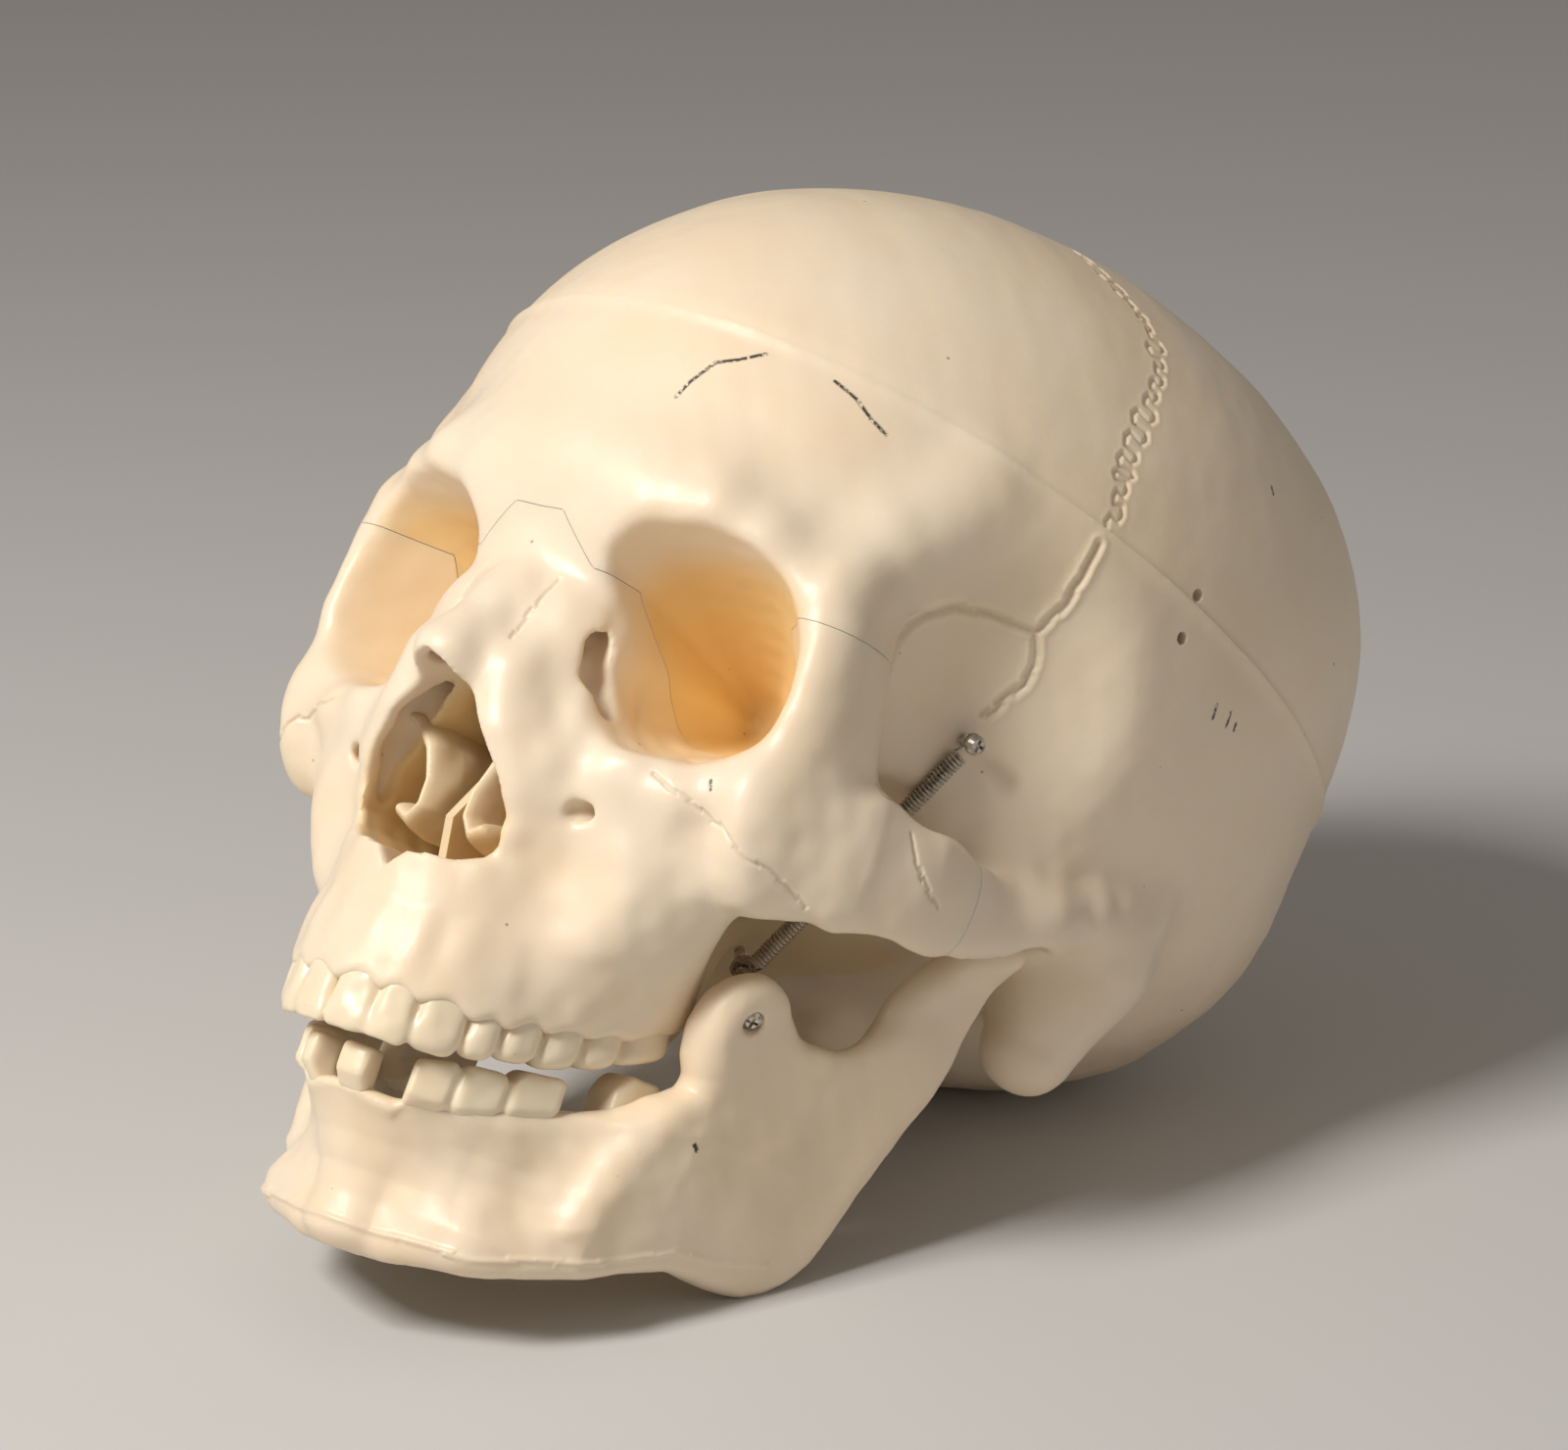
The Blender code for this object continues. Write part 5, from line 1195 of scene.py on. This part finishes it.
def spring_route(first, first_axis, second, second_axis):
    """A hook round the first screw, the coil, and a hook round the second screw."""
    run = unit(second - first)
    start, end = first + run * COIL_LEAD, second - run * COIL_LEAD
    upright = unit(first_axis - run * (first_axis @ run))
    across = np.cross(upright, run)
    far_across = np.cross(unit(second_axis - run * (second_axis @ run)), run)
    swing = math.atan2(-far_across @ upright, far_across @ across) % math.tau
    turns = COIL_TURNS + swing / math.tau
    t = np.linspace(0, 1, int(turns * 12) + 1)[:, None]
    angle = turns * math.tau * t
    coil = start + (end - start) * t + (upright * np.sin(angle) - across * np.cos(angle)) * COIL_RADIUS
    return np.concatenate([hook(first, run, across), coil, hook(second, -run, far_across)[::-1]])


for label, side in (("left", 1), ("right", -1)):
    flip = np.array((side, 1, 1))
    outward, inward = OUT_OF_TEMPLE * flip, -OUT_OF_JAW * flip
    under_head = axis_place(label + "_temple_screw", outward) - outward * HEAD_HEIGHT
    nut = axis_place(label + "_jaw_nut", inward) - inward * 0.8
    screw_tip = axis_place(label + "_jaw_screw", inward)
    upper, lower = under_head - outward * 1.0, nut - inward * 2.2
    route = spring_route(upper, outward, lower, inward)
    spring = wire(label + "_spring_wire", route, WIRE_RADIUS, 8, dark)
    spring.data.transform(STANCE)
    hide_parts(label + "_jaw_spring")
    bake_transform(spring)
    thread(label + "_temple_thread", under_head - outward * 0.1, under_head - outward * 3.6, "skull")
    thread(label + "_jaw_thread", nut + inward * 0.8, screw_tip - inward * 0.1, "jaw")

# ---- Table, lamps and camera ----
bm = bmesh.new()
bmesh.ops.create_grid(bm, x_segments=1, y_segments=1, size=3.0)
table_top = bpy.data.meshes.new("table")
bm.to_mesh(table_top)
bm.free()
pale = bpy.data.materials.new("pale_table")
pale.use_nodes = True
pale.node_tree.nodes["Principled BSDF"].inputs["Base Color"].default_value = (0.62, 0.61, 0.60, 1)
pale.node_tree.nodes["Principled BSDF"].inputs["Roughness"].default_value = 0.8
table_top.materials.append(pale)
floor = placed("table", table_top)

camera = placed("camera", bpy.data.cameras.new("camera"))
camera.location = (0.540621, -0.6335421, 0.3293759)
camera.rotation_euler = [math.radians(angle) for angle in (73.00273, 0.70759, 40.32582)]
camera.data.sensor_width = 36
camera.data.lens = 118.5489
camera.data.clip_start = 0.05
bpy.context.scene.camera = camera
LOOKED_AT = Vector((0, 0, 0.08))


def lamp(name, place, size, power, colour=(1, 1, 1)):
    """A soft square lamp that shines at the middle of the skull."""
    made = placed(name, bpy.data.lights.new(name, "AREA"))
    made.data.size, made.data.energy, made.data.color = size, power, colour
    made.location = place
    made.rotation_euler = (made.location - LOOKED_AT).to_track_quat("Z", "Y").to_euler()


lamp("key_lamp", (-0.11365, -0.82096, 0.9), 0.32, 12.5, (1.0, 0.97, 0.93))
lamp("fill_lamp", (1.21493, 0.11806, 0.5), 0.9, 0.9)
world = bpy.data.worlds.new("room")
bpy.context.scene.world = world
world.use_nodes = True
world.node_tree.nodes["Background"].inputs[0].default_value = (0.88, 0.81, 0.73, 1)
world.node_tree.nodes["Background"].inputs[1].default_value = 0.24
bpy.context.scene.view_settings.view_transform = "Standard"
